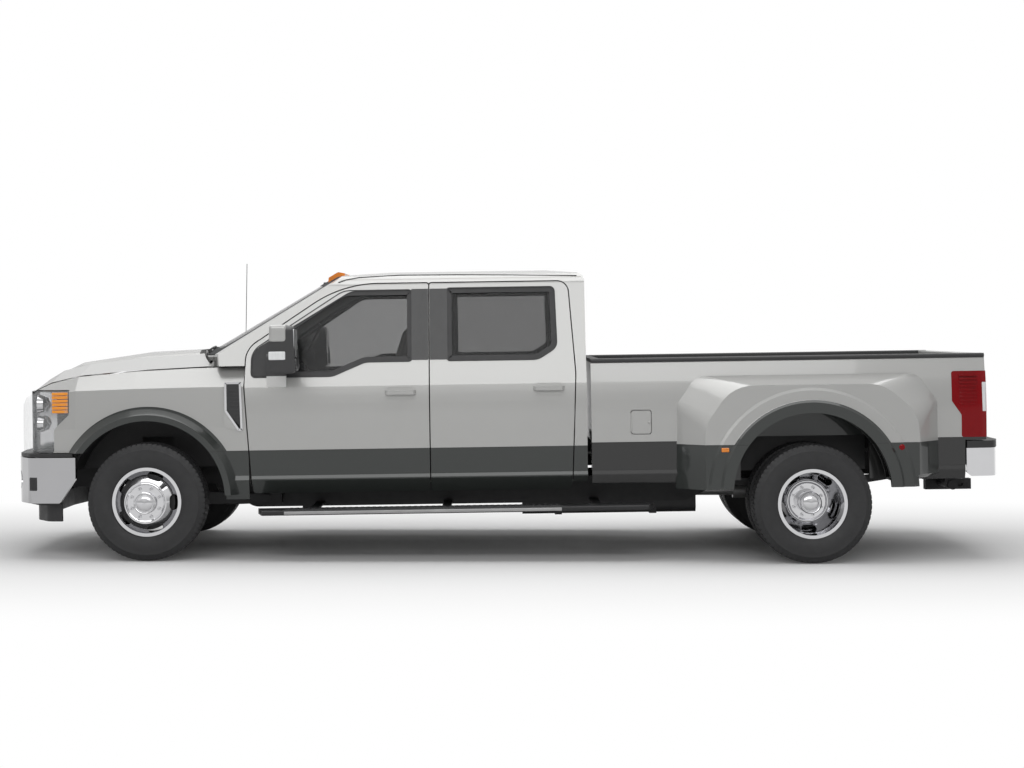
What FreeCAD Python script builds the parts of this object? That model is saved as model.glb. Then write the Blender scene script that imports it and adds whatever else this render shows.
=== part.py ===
# A crew-cab, long-bed heavy pickup truck with twin rear wheels.
# Units are millimetres. +X runs from the nose to the tail, +Y to the truck's right, +Z up.
# The origin lies on the ground under the middle of the truck.
# Everything is drawn level in "body" coordinates and then tipped nose-down about the
# origin by the truck's unladen rake. Wheel centres are placed so that all tyres touch the ground.
import FreeCAD, Part
import math
import os
import Sketcher
from FreeCAD import Placement, Rotation, Vector

doc = FreeCAD.newDocument("pickup_truck")

# Driving dimensions: alias, value, meaning
SIZES = [
    ("wheelbase", 4470.0, "front axle to rear axle"),
    ("front_axle_x", -2394.0, "front axle, measured from the origin"),
    ("front_track", 1900.0, "between the front tyres' centre planes"),
    ("rear_track", 1902.0, "between the mounting faces of the rear hubs"),
    ("tyre_radius", 399.0, "outer radius of every tyre"),
    ("tyre_width", 245.0, "section width of every tyre"),
    ("tread_width", 196.0, "flat of the tread"),
    ("bead_width", 163.0, "width over the tyre's beads"),
    ("rim_radius", 218.0, "bead seat radius of a 17 inch rim"),
    ("flange_radius", 233.0, "lip of the rim"),
    ("rim_width", 192.0, "outside width of the rim"),
    ("rim_wall", 7.0, "thickness of the rim and its disc"),
    ("wheel_offset", 136.0, "from the rim's centre plane to its mounting face"),
    ("spindle_radius", 30.0, "front spindle"),
    ("axle_end_radius", 45.0, "rear spindle"),
    ("running_fit", 0.05, "radial clearance of the spindles"),
    ("hub_radius", 80.0, "front and rear hub barrels"),
    ("cap_radius", 71.0, "chrome cap in the middle of every wheel"),
    ("rotor_radius", 165.0, "brake rotors"),
    ("body_rake", 0.865, "degrees, tail higher than nose when empty"),
    ("half_width", 1016.0, "cab and doors, centre line to the widest point"),
    ("sill_height", 475.0, "lower edge of the doors"),
    ("crease_height", 571.0, "lower crease along the whole side"),
    ("shoulder_height", 1196.0, "upper crease along the whole side"),
    ("belt_height", 1360.0, "lower edge of the side windows"),
    ("belt_dip", 94.0, "drop of the front door window's forward part"),
    ("window_height", 490.0, "from the belt to the upper edge of the side windows"),
    ("header_height", 38.0, "door frame above the side windows"),
    ("roof_rise", 100.0, "crown of the roof above the doors"),
    ("door_thickness", 78.0, "door from outer skin to inner trim"),
    ("door_tuck", 14.0, "skin at the crease, inside the widest point"),
    ("frame_thickness", 42.0, "window frames of the doors"),
    ("panel_gap", 8.0, "clearance round doors, hood and tailgate"),
    ("door_overlap", 24.0, "how far the cab's door jambs reach behind the doors"),
    ("hinge_setback", 60.0, "door hinge axis behind the door's front edge"),
    ("hinge_inset", 22.0, "door hinge axis inside the widest point"),
    ("hinge_pin", 5.0, "radius of the door hinge pins"),
    ("hinge_low", 760.0, "lower door hinge"),
    ("hinge_high", 1120.0, "upper door hinge"),
    ("hinge_plate", 16.0, "height of a hinge arm"),
    ("hinge_room", 110.0, "depth cut from the cab for the door's edge to swing in"),
    ("sill_step", 12.0, "door sill above the cab floor"),
    ("belt_inset", 54.0, "skin at the belt, inside the widest point"),
    ("door_top_inset", 178.0, "skin at the doors' upper edge, inside the widest point"),
    ("gate_pin", 9.0, "radius of the tailgate's side pins"),
    ("hood_pin", 7.0, "radius of the hood's hinge pins"),
    ("cowl_gap", 12.0, "between hood and cowl"),
    ("cowl_x", -2085.0, "foot of the windscreen on the centre line"),
    ("cowl_height", 1430.0, "foot of the windscreen"),
    ("screen_slope", 0.578, "rise of the windscreen over its run"),
    ("door_front_x", -1724.0, "front edge of the front door"),
    ("door_seam_x", -472.0, "between front and rear doors"),
    ("door_rear_x", 517.0, "rear edge of the rear door"),
    ("cab_rear_x", 592.0, "back of the cab"),
    ("cab_wall", 46.0, "cab back wall, firewall and roof"),
    ("floor_height", 566.0, "top of the cab floor"),
    ("glass_thickness", 6.0, "window glass"),
    ("seat_fit", 0.3, "gap round glass, lamps and other seated pieces"),
    ("bed_gap", 30.0, "between cab and bed"),
    ("bed_rear_x", 3290.0, "rear face of the bed sides"),
    ("bed_half_width", 1004.0, "bed side, centre line to skin"),
    ("bed_inner_half", 850.0, "inside half width of the bed"),
    ("bed_floor_height", 838.0, "top of the bed floor"),
    ("bed_floor_thickness", 42.0, "ribbed floor"),
    ("bed_rail_height", 1330.0, "top of the bed side under the rail cap"),
    ("bed_skirt_height", 509.0, "lower edge of the bed side"),
    ("rail_cap_thickness", 26.0, "black cap on the bed rails"),
    ("tailgate_thickness", 64.0, "tailgate"),
    ("wheelhouse_half_gap", 646.0, "centre line to the wheel housings in the bed"),
    ("fender_half_width", 1190.0, "face of the wide rear fender"),
    ("flare_half_width", 1219.0, "outermost lip of the rear fender"),
    ("rear_arch_radius", 527.0, "opening of the rear wheel arch"),
    ("rear_arch_rise", 82.0, "arch centre above the wheel centre"),
    ("front_arch_radius", 530.0, "opening of the front wheel arch"),
    ("front_arch_rise", 17.0, "arch centre above the wheel centre"),
    ("front_flare_half", 1062.0, "outermost lip of the front wheel arch"),
    ("arch_room", 30.0, "from the front arch opening to the cab's cut over the wheel"),
    ("bumper_rear_x", 3408.0, "rear face of the rear bumper"),
    ("bumper_front_x", -3352.0, "front face of the front bumper"),
    ("fog_radius", 62.0, "openings for the fog lamps"),
    ("frame_half", 432.0, "centre line to the outside of a frame rail"),
    ("rail_depth", 180.0, "height of a frame rail"),
    ("rail_width", 76.0, "width of a frame rail"),
    ("rail_top", 520.0, "top of the frame rails under the cab"),
    ("rail_kick", 170.0, "rise of the rails over both axles"),
    ("rail_end_rise", 110.0, "rise of the rails' ends above their middle"),
    ("rail_end_depth", 130.0, "height of the rails' ends"),
    ("kingpin_inset", 125.0, "steering axis inboard of the wheel's centre plane"),
    ("steer_arm", 150.0, "tie rod behind the steering axis"),
    ("board_height", 333.0, "underside of the running boards"),
    ("board_inner", 905.0, "inner edge of the running boards"),
]


class Size:
    """A length that knows its spreadsheet expression, so drawn values and bindings agree."""

    def __init__(self, text, value):
        self.text = text
        self.value = value

    def __float__(self):
        return self.value

    def __add__(self, other):
        other = as_size(other)
        return Size(f"({self.text} + {other.text})", self.value + other.value)

    def __radd__(self, other):
        return as_size(other) + self

    def __sub__(self, other):
        other = as_size(other)
        return Size(f"({self.text} - {other.text})", self.value - other.value)

    def __rsub__(self, other):
        return as_size(other) - self

    def __mul__(self, other):
        other = as_size(other)
        return Size(f"({self.text} * {other.text})", self.value * other.value)

    def __rmul__(self, other):
        return as_size(other) * self

    def __truediv__(self, other):
        other = as_size(other)
        return Size(f"({self.text} / {other.text})", self.value / other.value)

    def __neg__(self):
        return Size(f"(0 - {self.text})", -self.value)


def as_size(number):
    return number if isinstance(number, Size) else Size(repr(float(number)), float(number))


class Sheet:
    """The spreadsheet's sizes as attributes."""


sheet = doc.addObject("Spreadsheet::Sheet", "Sizes")
S = Sheet()
for row, (alias, value, meaning) in enumerate(SIZES, start=1):
    sheet.set(f"A{row}", meaning)
    sheet.set(f"B{row}", repr(value))
    sheet.setAlias(f"B{row}", alias)
    setattr(S, alias, Size(f"Sizes.{alias}", value))
doc.recompute()

RAKE = Placement(Vector(0, 0, 0), Rotation(Vector(0, 1, 0), -float(S.body_rake)))
NODES = {}
LEFT = -1
RIGHT = 1
SIDES = ((LEFT, "left"), (RIGHT, "right"))


def to_body(x, z):
    """Body coordinates of a point given in ground coordinates."""
    point = RAKE.inverse().multVec(Vector(float(x), 0, float(z)))
    return point.x, point.z


WINDOW_TOP = S.belt_height + S.window_height
DOOR_TOP = WINDOW_TOP + S.header_height
ROOF_HEIGHT = DOOR_TOP + S.roof_rise
REAR_AXLE_X = S.front_axle_x + S.wheelbase
FRONT_X, FRONT_Z = to_body(S.front_axle_x, S.tyre_radius)
REAR_X, REAR_Z = to_body(REAR_AXLE_X, S.tyre_radius)


def keep(name, label, shape):
    """A sub-part whose shape the functions below have made in body coordinates."""
    feature = doc.addObject("Part::Feature", name)
    feature.Shape = shape
    feature.Placement = RAKE.multiply(feature.Placement)
    feature.Label = label
    NODES[label] = feature
    return feature


def bind(target, **sizes):
    """Binds sizes of a document object to the spreadsheet."""
    for name, size in sizes.items():
        target.setExpression(name, as_size(size).text)
    return target


def set_at(target, x, y, z, turn=Rotation()):
    """Stands a document object at a bound place."""
    target.Placement = Placement(Vector(float(x), float(y), float(z)), turn)
    for axis, size in zip("xyz", (x, y, z)):
        target.setExpression(f"Placement.Base.{axis}", as_size(size).text)
    return target


def bar(name, x, y, z, length, width, height):
    """A bound box from its lower corner."""
    box = bind(doc.addObject("Part::Box", name), Length=length, Width=width, Height=height)
    return set_at(box, x, y, z)


def pin(name, x, y, z, radius, height, along="z"):
    """A bound cylinder that starts at a place and runs up, or across to the right."""
    turn = Rotation() if along == "z" else Rotation(Vector(1, 0, 0), -90)
    cylinder = bind(doc.addObject("Part::Cylinder", name), Radius=radius, Height=height)
    return set_at(cylinder, x, y, z, turn)


def joined(name, label, items, kind="Part::MultiFuse"):
    """One tilted sub-part from bound primitives, fused or kept as separate bars."""
    feature = doc.addObject(kind, name)
    if kind == "Part::MultiFuse":
        feature.Shapes = items
    else:
        feature.Links = items
    feature.Placement = RAKE
    feature.Label = label
    NODES[label] = feature
    return feature


def on_plane(plane, level, a, b):
    """A 3-D point from two plane coordinates: xz at a Y level, yz at an X, xy at a Z."""
    a, b, level = float(a), float(b), float(level)
    return {"xz": Vector(a, level, b), "yz": Vector(level, a, b), "xy": Vector(a, b, level)}[plane]


def rounded(plane, level, points):
    """A closed wire through (a, b) or (a, b, radius) corners, each rounded by its radius."""
    corners = [(on_plane(plane, level, p[0], p[1]), float(p[2]) if len(p) > 2 else 0.0) for p in points]
    ends = []
    for i, (corner, radius) in enumerate(corners):
        before = (corners[i - 1][0] - corner).normalize()
        after = (corners[(i + 1) % len(corners)][0] - corner).normalize()
        if radius <= 0:
            ends.append((corner, None, corner))
            continue
        half = before.getAngle(after) / 2
        reach = radius / math.tan(half)
        bisector = (before + after).normalize()
        middle = corner + bisector * (radius / math.sin(half) - radius)
        ends.append((corner + before * reach, middle, corner + after * reach))
    edges = []
    for i, (start, middle, finish) in enumerate(ends):
        if middle is not None:
            edges.append(Part.Arc(start, middle, finish).toShape())
        following = ends[(i + 1) % len(ends)][0]
        if (following - finish).Length > 1e-6:
            edges.append(Part.LineSegment(finish, following).toShape())
    return Part.Wire(edges)


def slab(plane, near, far, points):
    """The rounded outline on its plane, extruded from one level to the other."""
    wire = rounded(plane, near, points)
    step = on_plane(plane, 1, 0, 0) - on_plane(plane, 0, 0, 0)
    return Part.Face(wire).extrude(step * (float(far) - float(near)))


def block(x0, x1, y0, y1, z0, z1):
    x0, x1, y0, y1, z0, z1 = (float(v) for v in (x0, x1, y0, y1, z0, z1))
    return Part.makeBox(x1 - x0, y1 - y0, z1 - z0, Vector(x0, y0, z0))


def rod(start, finish, radius):
    """A round bar between two points."""
    start, finish = Vector(*[float(v) for v in start]), Vector(*[float(v) for v in finish])
    return Part.makeCylinder(float(radius), (finish - start).Length, start, finish - start)


def mirrored(shape):
    """The same piece on the other side of the truck."""
    return shape.mirror(Vector(0, 0, 0), Vector(0, 1, 0))


def both_sides(shape):
    return Part.makeCompound([shape, mirrored(shape)])


def on_side(side, shape):
    return shape if side == RIGHT else mirrored(shape)


def fused(shapes):
    """One clean shape from pieces that touch or overlap."""
    first, rest = shapes[0], shapes[1:]
    return first.multiFuse(rest).removeSplitter() if rest else first


# Wheels

def sketch_outline(body, points):
    """A closed sketch polygon on the body's XY plane, every corner bound to the spreadsheet."""
    sketch = body.newObject("Sketcher::SketchObject", body.Name + "_section")
    plane = [f for f in body.Origin.OriginFeatures if f.Role == "XY_Plane"][0]
    sketch.AttachmentSupport = [(plane, "")]
    sketch.MapMode = "FlatFace"
    spots = [Vector(float(a), float(b), 0) for a, b in points]
    count = len(spots)
    for i in range(count):
        sketch.addGeometry(Part.LineSegment(spots[i], spots[(i + 1) % count]), False)
    for i in range(count):
        sketch.addConstraint(Sketcher.Constraint("Coincident", i, 2, (i + 1) % count, 1))
    for i, (a, b) in enumerate(points):
        for kind, size in (("DistanceX", a), ("DistanceY", b)):
            size = as_size(size)
            index = sketch.addConstraint(Sketcher.Constraint(kind, -1, 1, i, 1, size.value))
            sketch.setExpression(f"Constraints[{index}]", size.text)
    return sketch


def revolved(name, points):
    """A PartDesign body: the outline turned about its Y axis."""
    body = doc.addObject("PartDesign::Body", name)
    sketch = sketch_outline(body, points)
    turn = body.newObject("PartDesign::Revolution", name + "_turned")
    turn.Profile = sketch
    turn.ReferenceAxis = (sketch, ["V_Axis"])
    turn.Angle = 360
    sketch.Visibility = False
    body.Tip = turn
    doc.recompute()
    return body


# Road wheels: level, about axles along Y

def tyre_outline(side, tread, shoulder):
    """Radius and axial place of the corners of a tyre's section."""
    half = S.bead_width / 2
    points = [(S.tyre_radius, -tread / 2), (S.tyre_radius, tread / 2)]
    if shoulder:
        points += [(S.tyre_radius * 0.827, S.tyre_width / 2)]
    points += [(S.rim_radius, half), (S.rim_radius, -half)]
    if shoulder:
        points += [(S.tyre_radius * 0.827, -S.tyre_width / 2)]
    return [(radius, axial * side) for radius, axial in points]


def rim_section():
    """Barrel, flanges and disc of the steel rim; positive is the side the disc bulges to."""
    seat = S.rim_radius - S.seat_fit
    inside = seat - S.rim_wall
    edge = S.rim_width / 2
    bead = S.bead_width / 2 + S.seat_fit
    back = S.wheel_offset
    front = back + S.rim_wall
    outer = [(seat, -bead), (seat, bead), (S.flange_radius, edge)]
    outer += [(inside, edge), (inside, edge * 0.72), (142, front)]
    inner = [(138, back), (inside, edge * 0.55), (inside, -edge), (S.flange_radius, -edge)]
    return outer, inner


def front_wheel_outline(side):
    """Rim, hub barrel and cap of a front wheel, with the bore for its spindle."""
    outer, inner = rim_section()
    cap = S.wheel_offset + 42
    bore = S.spindle_radius + S.running_fit
    hub = [(S.cap_radius, S.wheel_offset + S.rim_wall), (S.cap_radius, cap), (0, cap + 8), (0, cap - 24)]
    hub += [(bore, cap - 24), (bore, 0), (S.hub_radius, 0), (S.hub_radius, S.wheel_offset)]
    return [(radius, axial * side) for radius, axial in outer + hub + inner]


def inner_rear_outline(side):
    """A bare rim whose disc slips over the hub."""
    outer, inner = rim_section()
    hole = S.hub_radius + S.seat_fit
    ring = [(hole, S.wheel_offset + S.rim_wall), (hole, S.wheel_offset)]
    return [(radius, axial * side) for radius, axial in outer + ring + inner]


def outer_rear_outline(side):
    """The same rim turned round, so that its disc is deep inside, with the hub and its cap."""
    outer, inner = rim_section()
    face = S.wheel_offset
    bore = S.axle_end_radius + S.running_fit
    hub = [(S.hub_radius, -face), (S.hub_radius, -60), (S.cap_radius, -60)]
    hub += [(S.cap_radius, 5), (0, 12), (0, -20)]
    hub += [(bore, -20), (bore, -face - 80), (S.hub_radius, -face - 80), (S.hub_radius, -face - S.rim_wall)]
    outboard = [(radius, -axial) for radius, axial in inner]
    inboard = [(radius, -axial) for radius, axial in outer]
    outboard = [outboard[3], outboard[2], outboard[1], outboard[0]]
    inboard = [inboard[5], inboard[4], inboard[3], inboard[2], inboard[1], inboard[0]]
    return [(radius, axial * side) for radius, axial in outboard + hub + inboard]


def hand_holes(name, start, finish, first_angle):
    """Five oval prisms between two axial places, the first at the given angle above the nose side."""
    holes = []
    count, reach, length, width = 5, 183, 104, 48
    for i in range(count):
        outline = [(reach - width / 2, -length / 2, 23.9), (reach + width / 2, -length / 2, 23.9)]
        outline += [(reach + width / 2, length / 2, 23.9), (reach - width / 2, length / 2, 23.9)]
        hole = slab("xz", start, finish, outline)
        hole.rotate(Vector(0, 0, 0), Vector(0, 1, 0), first_angle + 360 / count * i)
        holes.append(hole)
    tool = doc.addObject("Part::Feature", name)
    tool.Shape = Part.makeCompound(holes)
    return tool


def level_part(feature, label, x, y, z):
    """Places a sub-part that stays level and lists it under its label."""
    feature.Placement = Placement(Vector(float(x), float(y), float(z)), Rotation())
    feature.Label = label
    NODES[label] = feature
    return feature


def cut_holes(body, tool, name):
    """The disc less its hand holes."""
    feature = doc.addObject("Part::Cut", name)
    feature.Base = body
    feature.Tool = tool
    doc.recompute()
    return feature


REAR_PAIR = S.wheel_offset + S.rim_wall


def pair(name, outer, inner, outer_y, inner_y):
    """Outer and inner twin of a rear wheel as one sub-part, drawn about the axle's middle."""
    outer.Placement = Placement(Vector(0, float(outer_y), 0), Rotation())
    inner.Placement = Placement(Vector(0, float(inner_y), 0), Rotation())
    feature = doc.addObject("Part::Compound", name)
    feature.Links = [outer, inner]
    return level_part(feature, name, REAR_AXLE_X, 0, S.tyre_radius)


for side, word in SIDES:
    front_y = S.front_track / 2 * side
    outer_y = (S.rear_track / 2 + REAR_PAIR) * side
    inner_y = (S.rear_track / 2 - REAR_PAIR) * side
    tyre = revolved(f"front_tyre_{word}", tyre_outline(side, S.tread_width, True))
    level_part(tyre, f"tyre_front_{word}", S.front_axle_x, front_y, S.tyre_radius)
    outer = revolved(f"outer_tyre_{word}", tyre_outline(side, S.tread_width, True))
    inner = revolved(f"inner_tyre_{word}", tyre_outline(side, S.tyre_width * 0.92, False))
    pair(f"tyres_rear_{word}", outer, inner, outer_y, inner_y)
    rim = revolved(f"front_disc_{word}", front_wheel_outline(side))
    holes = hand_holes(f"front_holes_{word}", 40 * side, 150 * side, 0)
    rim = cut_holes(rim, holes, f"front_rim_{word}")
    level_part(rim, f"rim_front_{word}", S.front_axle_x, front_y, S.tyre_radius)
    rim = revolved(f"outer_disc_{word}", outer_rear_outline(side))
    holes = hand_holes(f"rear_holes_{word}", -150 * side, -40 * side, 18)
    outer = cut_holes(rim, holes, f"outer_rim_{word}")
    inner = revolved(f"inner_rim_{word}", inner_rear_outline(side))
    pair(f"rims_rear_{word}", outer, inner, outer_y, inner_y)


# Axles, knuckles and steering linkage: level, drawn about the wheel centres

def level_shape(label, shape, x=0.0):
    """A chassis piece that stays level, drawn about the axle's middle."""
    feature = doc.addObject("Part::Feature", label)
    feature.Shape = shape
    return level_part(feature, label, x, 0, S.tyre_radius)


KINGPIN_Y = S.front_track / 2 - S.kingpin_inset


def front_beam():
    """Tube with a yoke at each end that holds the steering pin."""
    pin_y = float(KINGPIN_Y)
    pieces = [rod((0, -(pin_y - 70), 0), (0, pin_y - 70, 0), 46)]
    for side, word in SIDES:
        back = block(-42, 42, pin_y - 92, pin_y - 60, -108, 108)
        for low, high in ((-108, -78), (78, 108)):
            ear = block(-42, 42, pin_y - 70, pin_y, low, high)
            ear = ear.fuse(rod((0, pin_y, low), (0, pin_y, high), 42))
            back = back.fuse(ear)
        back = back.cut(rod((0, pin_y, -120), (0, pin_y, 120), 15 + float(S.running_fit)))
        pieces.append(on_side(side, back))
    return fused(pieces)


def knuckle():
    """Right steering knuckle: barrel on its pin, spindle, dust shield, caliper and steering arm."""
    pin_y = float(KINGPIN_Y)
    tip = float(S.front_track / 2 + S.wheel_offset) + 16
    barrel = rod((0, pin_y, -77), (0, pin_y, 77), 42)
    pin = rod((0, pin_y, -106), (0, pin_y, 106), 15)
    spindle = rod((0, pin_y, 0), (0, tip, 0), S.spindle_radius)
    flange = rod((0, pin_y, 0), (0, pin_y + 75, 0), 62)
    shield = rod((0, pin_y + 66, 0), (0, pin_y + 80, 0), S.rotor_radius)
    caliper = block(-60, 60, pin_y + 50, pin_y + 112, 112, 178)
    arm = block(0, S.steer_arm, pin_y - 22, pin_y + 22, -54, -26)
    arm = arm.fuse(rod((S.steer_arm, pin_y, -54), (S.steer_arm, pin_y, -26), 24))
    eye = rod((S.steer_arm, pin_y, -60), (S.steer_arm, pin_y, -20), 10 + float(S.running_fit))
    return fused([barrel, pin, spindle, flange, shield, caliper, arm]).cut(eye)


def tie_rod():
    """Bar between the steering arms; its left end carries the pin, its right end lies under the other arm."""
    x, y, low = S.steer_arm, KINGPIN_Y, -81
    items = [pin("tie_bar", x, -y, low, 14, y * 2, "y"), pin("tie_pin", x, -y, low - 14, 10, 69)]
    items += [pin("tie_end", x, place, low - 16, 21, 32) for place in (-y, y)]
    feature = doc.addObject("Part::MultiFuse", "tie_rod")
    feature.Shapes = items
    level_part(feature, "tie_rod", S.front_axle_x, 0, S.tyre_radius)


def rear_beam():
    """Axle tube, bowl of the final drive, brake drums and the fixed spindles."""
    inner = float(S.rear_track / 2) - 87
    tip = float(S.rear_track / 2 + REAR_PAIR) - 24
    tube = rod((0, -inner, 0), (0, inner, 0), 55)
    spindles = rod((0, -tip, 0), (0, tip, 0), S.axle_end_radius)
    bowl = rod((0, -70, 0), (0, 70, 0), 158)
    cheeks = [Part.makeCone(158, 92, 60, Vector(0, 70 * way, 0), Vector(0, way, 0)) for way in (LEFT, RIGHT)]
    nose = rod((-290, 0, 0), (-80, 0, 0), 62)
    drums = both_sides(rod((0, inner - 62, 0), (0, inner - 8, 0), S.rotor_radius))
    return fused([tube, spindles, bowl, nose, drums] + cheeks)


level_shape("front_axle", front_beam(), S.front_axle_x)
level_shape("rear_axle", rear_beam(), REAR_AXLE_X)
tie_rod()
for side, word in SIDES:
    level_shape(f"knuckle_{word}", on_side(side, knuckle()), S.front_axle_x)


# Chassis, drawn level with the body

def rail_outline():
    """Side view of a frame rail, kicked up over both axles."""
    top, high, deep = S.rail_top, S.rail_top + S.rail_kick, S.rail_depth
    end_high = top + S.rail_end_rise
    rear = S.bed_rear_x - 80
    upper = [(-3230, end_high), (-2900, end_high), (-2780, high, 120), (-2050, high, 120), (-1760, top, 120)]
    upper += [(1330, top, 120), (1700, high, 120), (2450, high, 120), (2760, end_high, 120), (rear, end_high)]
    end_low = end_high - S.rail_end_depth
    lower = [(rear, end_low), (2740, end_low, 120), (2480, high - deep, 120), (1660, high - deep, 120)]
    lower += [(1300, top - deep, 120), (-1740, top - deep, 120), (-2010, high - deep, 120)]
    lower += [(-2760, high - deep, 120), (-2890, end_low), (-3230, end_low)]
    return upper + lower


def frame():
    """The two rails with cab and bed mounts on top and tow hooks in front."""
    inner = float(S.frame_half - S.rail_width)
    outer = float(S.frame_half)
    top = float(S.rail_top)
    floor = float(S.floor_height) - 40
    under_bed = float(S.bed_floor_height - S.bed_floor_thickness)
    pieces = [slab("xz", inner, outer, rail_outline())]
    for x in (-1560, -650, 420):
        pieces.append(rod((x, outer - 38, top - 20), (x, outer - 38, floor), 38))
    for x, low in ((800, top), (1500, top + 60), (2240, top + 150), (3050, top + 90)):
        pieces.append(block(x, x + 70, inner + 8, outer - 8, low - 20, under_bed - 30))
    hook = [(-3150, 500), (-3150, 440), (-3395, 440, 30), (-3395, 520, 20)]
    hook += [(-3365, 520), (-3365, 470, 10), (-3200, 470), (-3200, 500)]
    pieces += [slab("xz", 340, 366, hook), block(-3200, -3120, inner, 372, 440, 560)]
    return both_sides(fused(pieces))


def crossmembers():
    """Bars between the rails, and the brackets that carry the running boards."""
    inner, outer = S.frame_half - S.rail_width, S.frame_half
    top, under = S.rail_top, S.rail_top - S.rail_depth
    rows = [(x, top - 58, 90, 50) for x in (-1040, -250, 700, 1250)]
    rows += [(x, top + 95, 90, 65) for x in (1780, 2440)]
    rows += [(-3180, top, 100, 100), (-2560, top, 120, 55)]
    bars = [bar("rail_bar", x, -inner, z, length, inner * 2, height) for x, z, length, height in rows]
    bars.append(bar("gearbox_bar", -1400, -outer, under - 40, 70, outer * 2, 40))
    reach = S.board_inner - outer
    for x in (-1300, -400, 620):
        for y in (outer, -S.board_inner):
            bars.append(bar("board_bracket", x, y, S.board_height + 24, 60, reach, 13))
    joined("crossmembers", "crossmembers", bars, "Part::Compound")


def hitch():
    """Receiver tube with its pin hole, the cross tube, hangers under the rails and chain rings."""
    inner = float(S.frame_half - S.rail_width)
    outer = float(S.frame_half)
    rear = float(S.bumper_rear_x)
    under = float(S.rail_top + S.rail_end_rise - S.rail_end_depth)
    tube = block(rear - 330, rear, -38, 38, 357, 433)
    socket = block(rear - 300, rear + 1, -25.6, 25.6, 369.4, 420.6)
    pin_hole = rod((rear - 64, -50, 395), (rear - 64, 50, 395), 8)
    bar = rod((rear - 220, -outer, 420), (rear - 220, outer, 420), 34)
    hangers = both_sides(block(rear - 262, rear - 204, inner + 10, outer - 10, 400, under))
    chains = both_sides(block(rear - 120, rear - 60, 34, 92, 366, 380))
    rings = both_sides(rod((rear - 90, 68, 360), (rear - 90, 68, 390), 14))
    return fused([tube, bar, hangers, chains]).cut(socket).cut(pin_hole).cut(rings)


keep("frame", "frame", frame())
crossmembers()
keep("hitch", "hitch", hitch())


# Cab and doors: outlines in body coordinates

def side_skin(inset=0.0, low=None):
    """Section of cab and doors, right half, from the sill up to the middle of the roof."""
    w = float(S.half_width) - inset
    crease, shoulder, belt = float(S.crease_height), float(S.shoulder_height), float(S.belt_height)
    top = float(ROOF_HEIGHT) - inset
    low = float(S.sill_height) - 20 if low is None else low
    lower = [(0, low), (w - 90, low), (w - 76, float(S.sill_height) - 6)]
    lower += [(w - 6, crease, 12), (w - float(S.door_tuck), crease + 29, 20)]
    middle = [(w, 940, 4000), (w - 5, 1130, 900), (w - 14, shoulder, 30)]
    middle += [(w - float(S.belt_inset), belt, 500)]
    roof = [(w - float(S.door_top_inset), float(DOOR_TOP), 30), (w - 250, top - 40, 150)]
    roof += [(w - 430, top - 17, 900), (0, top)]
    return lower + middle + roof


def full_section(half):
    """Both halves of a section in the YZ plane as one closed outline."""
    inner = half[1:-1]
    other = [(-p[0],) + tuple(p[1:]) for p in reversed(inner)]
    return [half[0]] + inner + [half[-1]] + other


def skin_prism(x0, x1, inset=0.0, low=None):
    return slab("yz", x0, x1, full_section(side_skin(inset, low)))


def screen_prism(setback=0.0):
    """Everything behind the curved windscreen surface, moved back by the setback."""
    x0 = float(S.cowl_x) + setback
    sweep, wide = 108.0, 720.0
    radius = (wide * wide + sweep * sweep) / (2 * sweep)
    reach = 1150.0
    back = radius - math.sqrt(radius * radius - reach * reach)
    z0 = float(S.cowl_height)
    start, finish = Vector(x0 + back, -reach, z0), Vector(x0 + back, reach, z0)
    arc = Part.Arc(start, Vector(x0, 0, z0), finish).toShape()
    far = x0 + 6000
    sides = [finish, Vector(far, reach, z0), Vector(far, -reach, z0), start]
    edges = [arc] + [Part.LineSegment(a, b).toShape() for a, b in zip(sides, sides[1:])]
    face = Part.Face(Part.Wire(edges))
    slope = Vector(1, 0, float(S.screen_slope))
    face.translate(slope * -1900)
    return face.extrude(slope * 3200)


def roof_front():
    """Where the windscreen's slope reaches the height of the roof, on the centre line."""
    return float(S.cowl_x + (ROOF_HEIGHT - S.cowl_height) / S.screen_slope)


def cab_outline(inset=0.0):
    """Side view of the cab's shell."""
    foot, rear, top = float(S.cowl_x), float(S.cab_rear_x) - inset, float(ROOF_HEIGHT) + 2 - inset
    floor = float(S.floor_height) if inset else float(S.floor_height) - 40
    wall = -2010 + inset
    shift = inset * 1.9
    start = roof_front()
    length = float(S.cab_rear_x) - start
    sill = float(S.cowl_height) + 7 - (60 if inset else 0)
    roof = [(foot + shift, sill), (start - 95 + shift * 0.3, top - 50, 700)]
    roof += [(start + length * 0.39, top, 2000), (start + length * 0.74, top, 2000), (rear, top - 45, 60)]
    toe_board = [(rear, floor, 20), (-1700 + inset, floor, 60), (wall + 60, floor + 190), (wall, floor + 330)]
    return roof + toe_board + [(wall, 1290), (foot + shift, 1330)]


def door_outline(front):
    """Side view of a door's outer skin."""
    seam, top, low = float(S.door_seam_x), float(DOOR_TOP), float(S.sill_height)
    half_gap = float(S.panel_gap) / 2
    if front:
        edge = float(S.door_front_x)
        shoulder, belt = float(S.shoulder_height) + 14, float(S.belt_height) + 95
        pillar = [(edge + 48, low, 20), (edge, shoulder, 400), (edge + 12, belt, 150), (edge + 666, top, 800)]
        return pillar + [(seam - half_gap, top, 15), (seam - half_gap, low, 15)]
    edge, belt = float(S.door_rear_x), float(S.belt_height)
    ahead = [(seam + half_gap, low, 15), (seam + half_gap, top, 15)]
    return ahead + [(edge - 43, top, 75), (edge, belt - 98, 200), (edge - 33, low, 30)]


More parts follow.
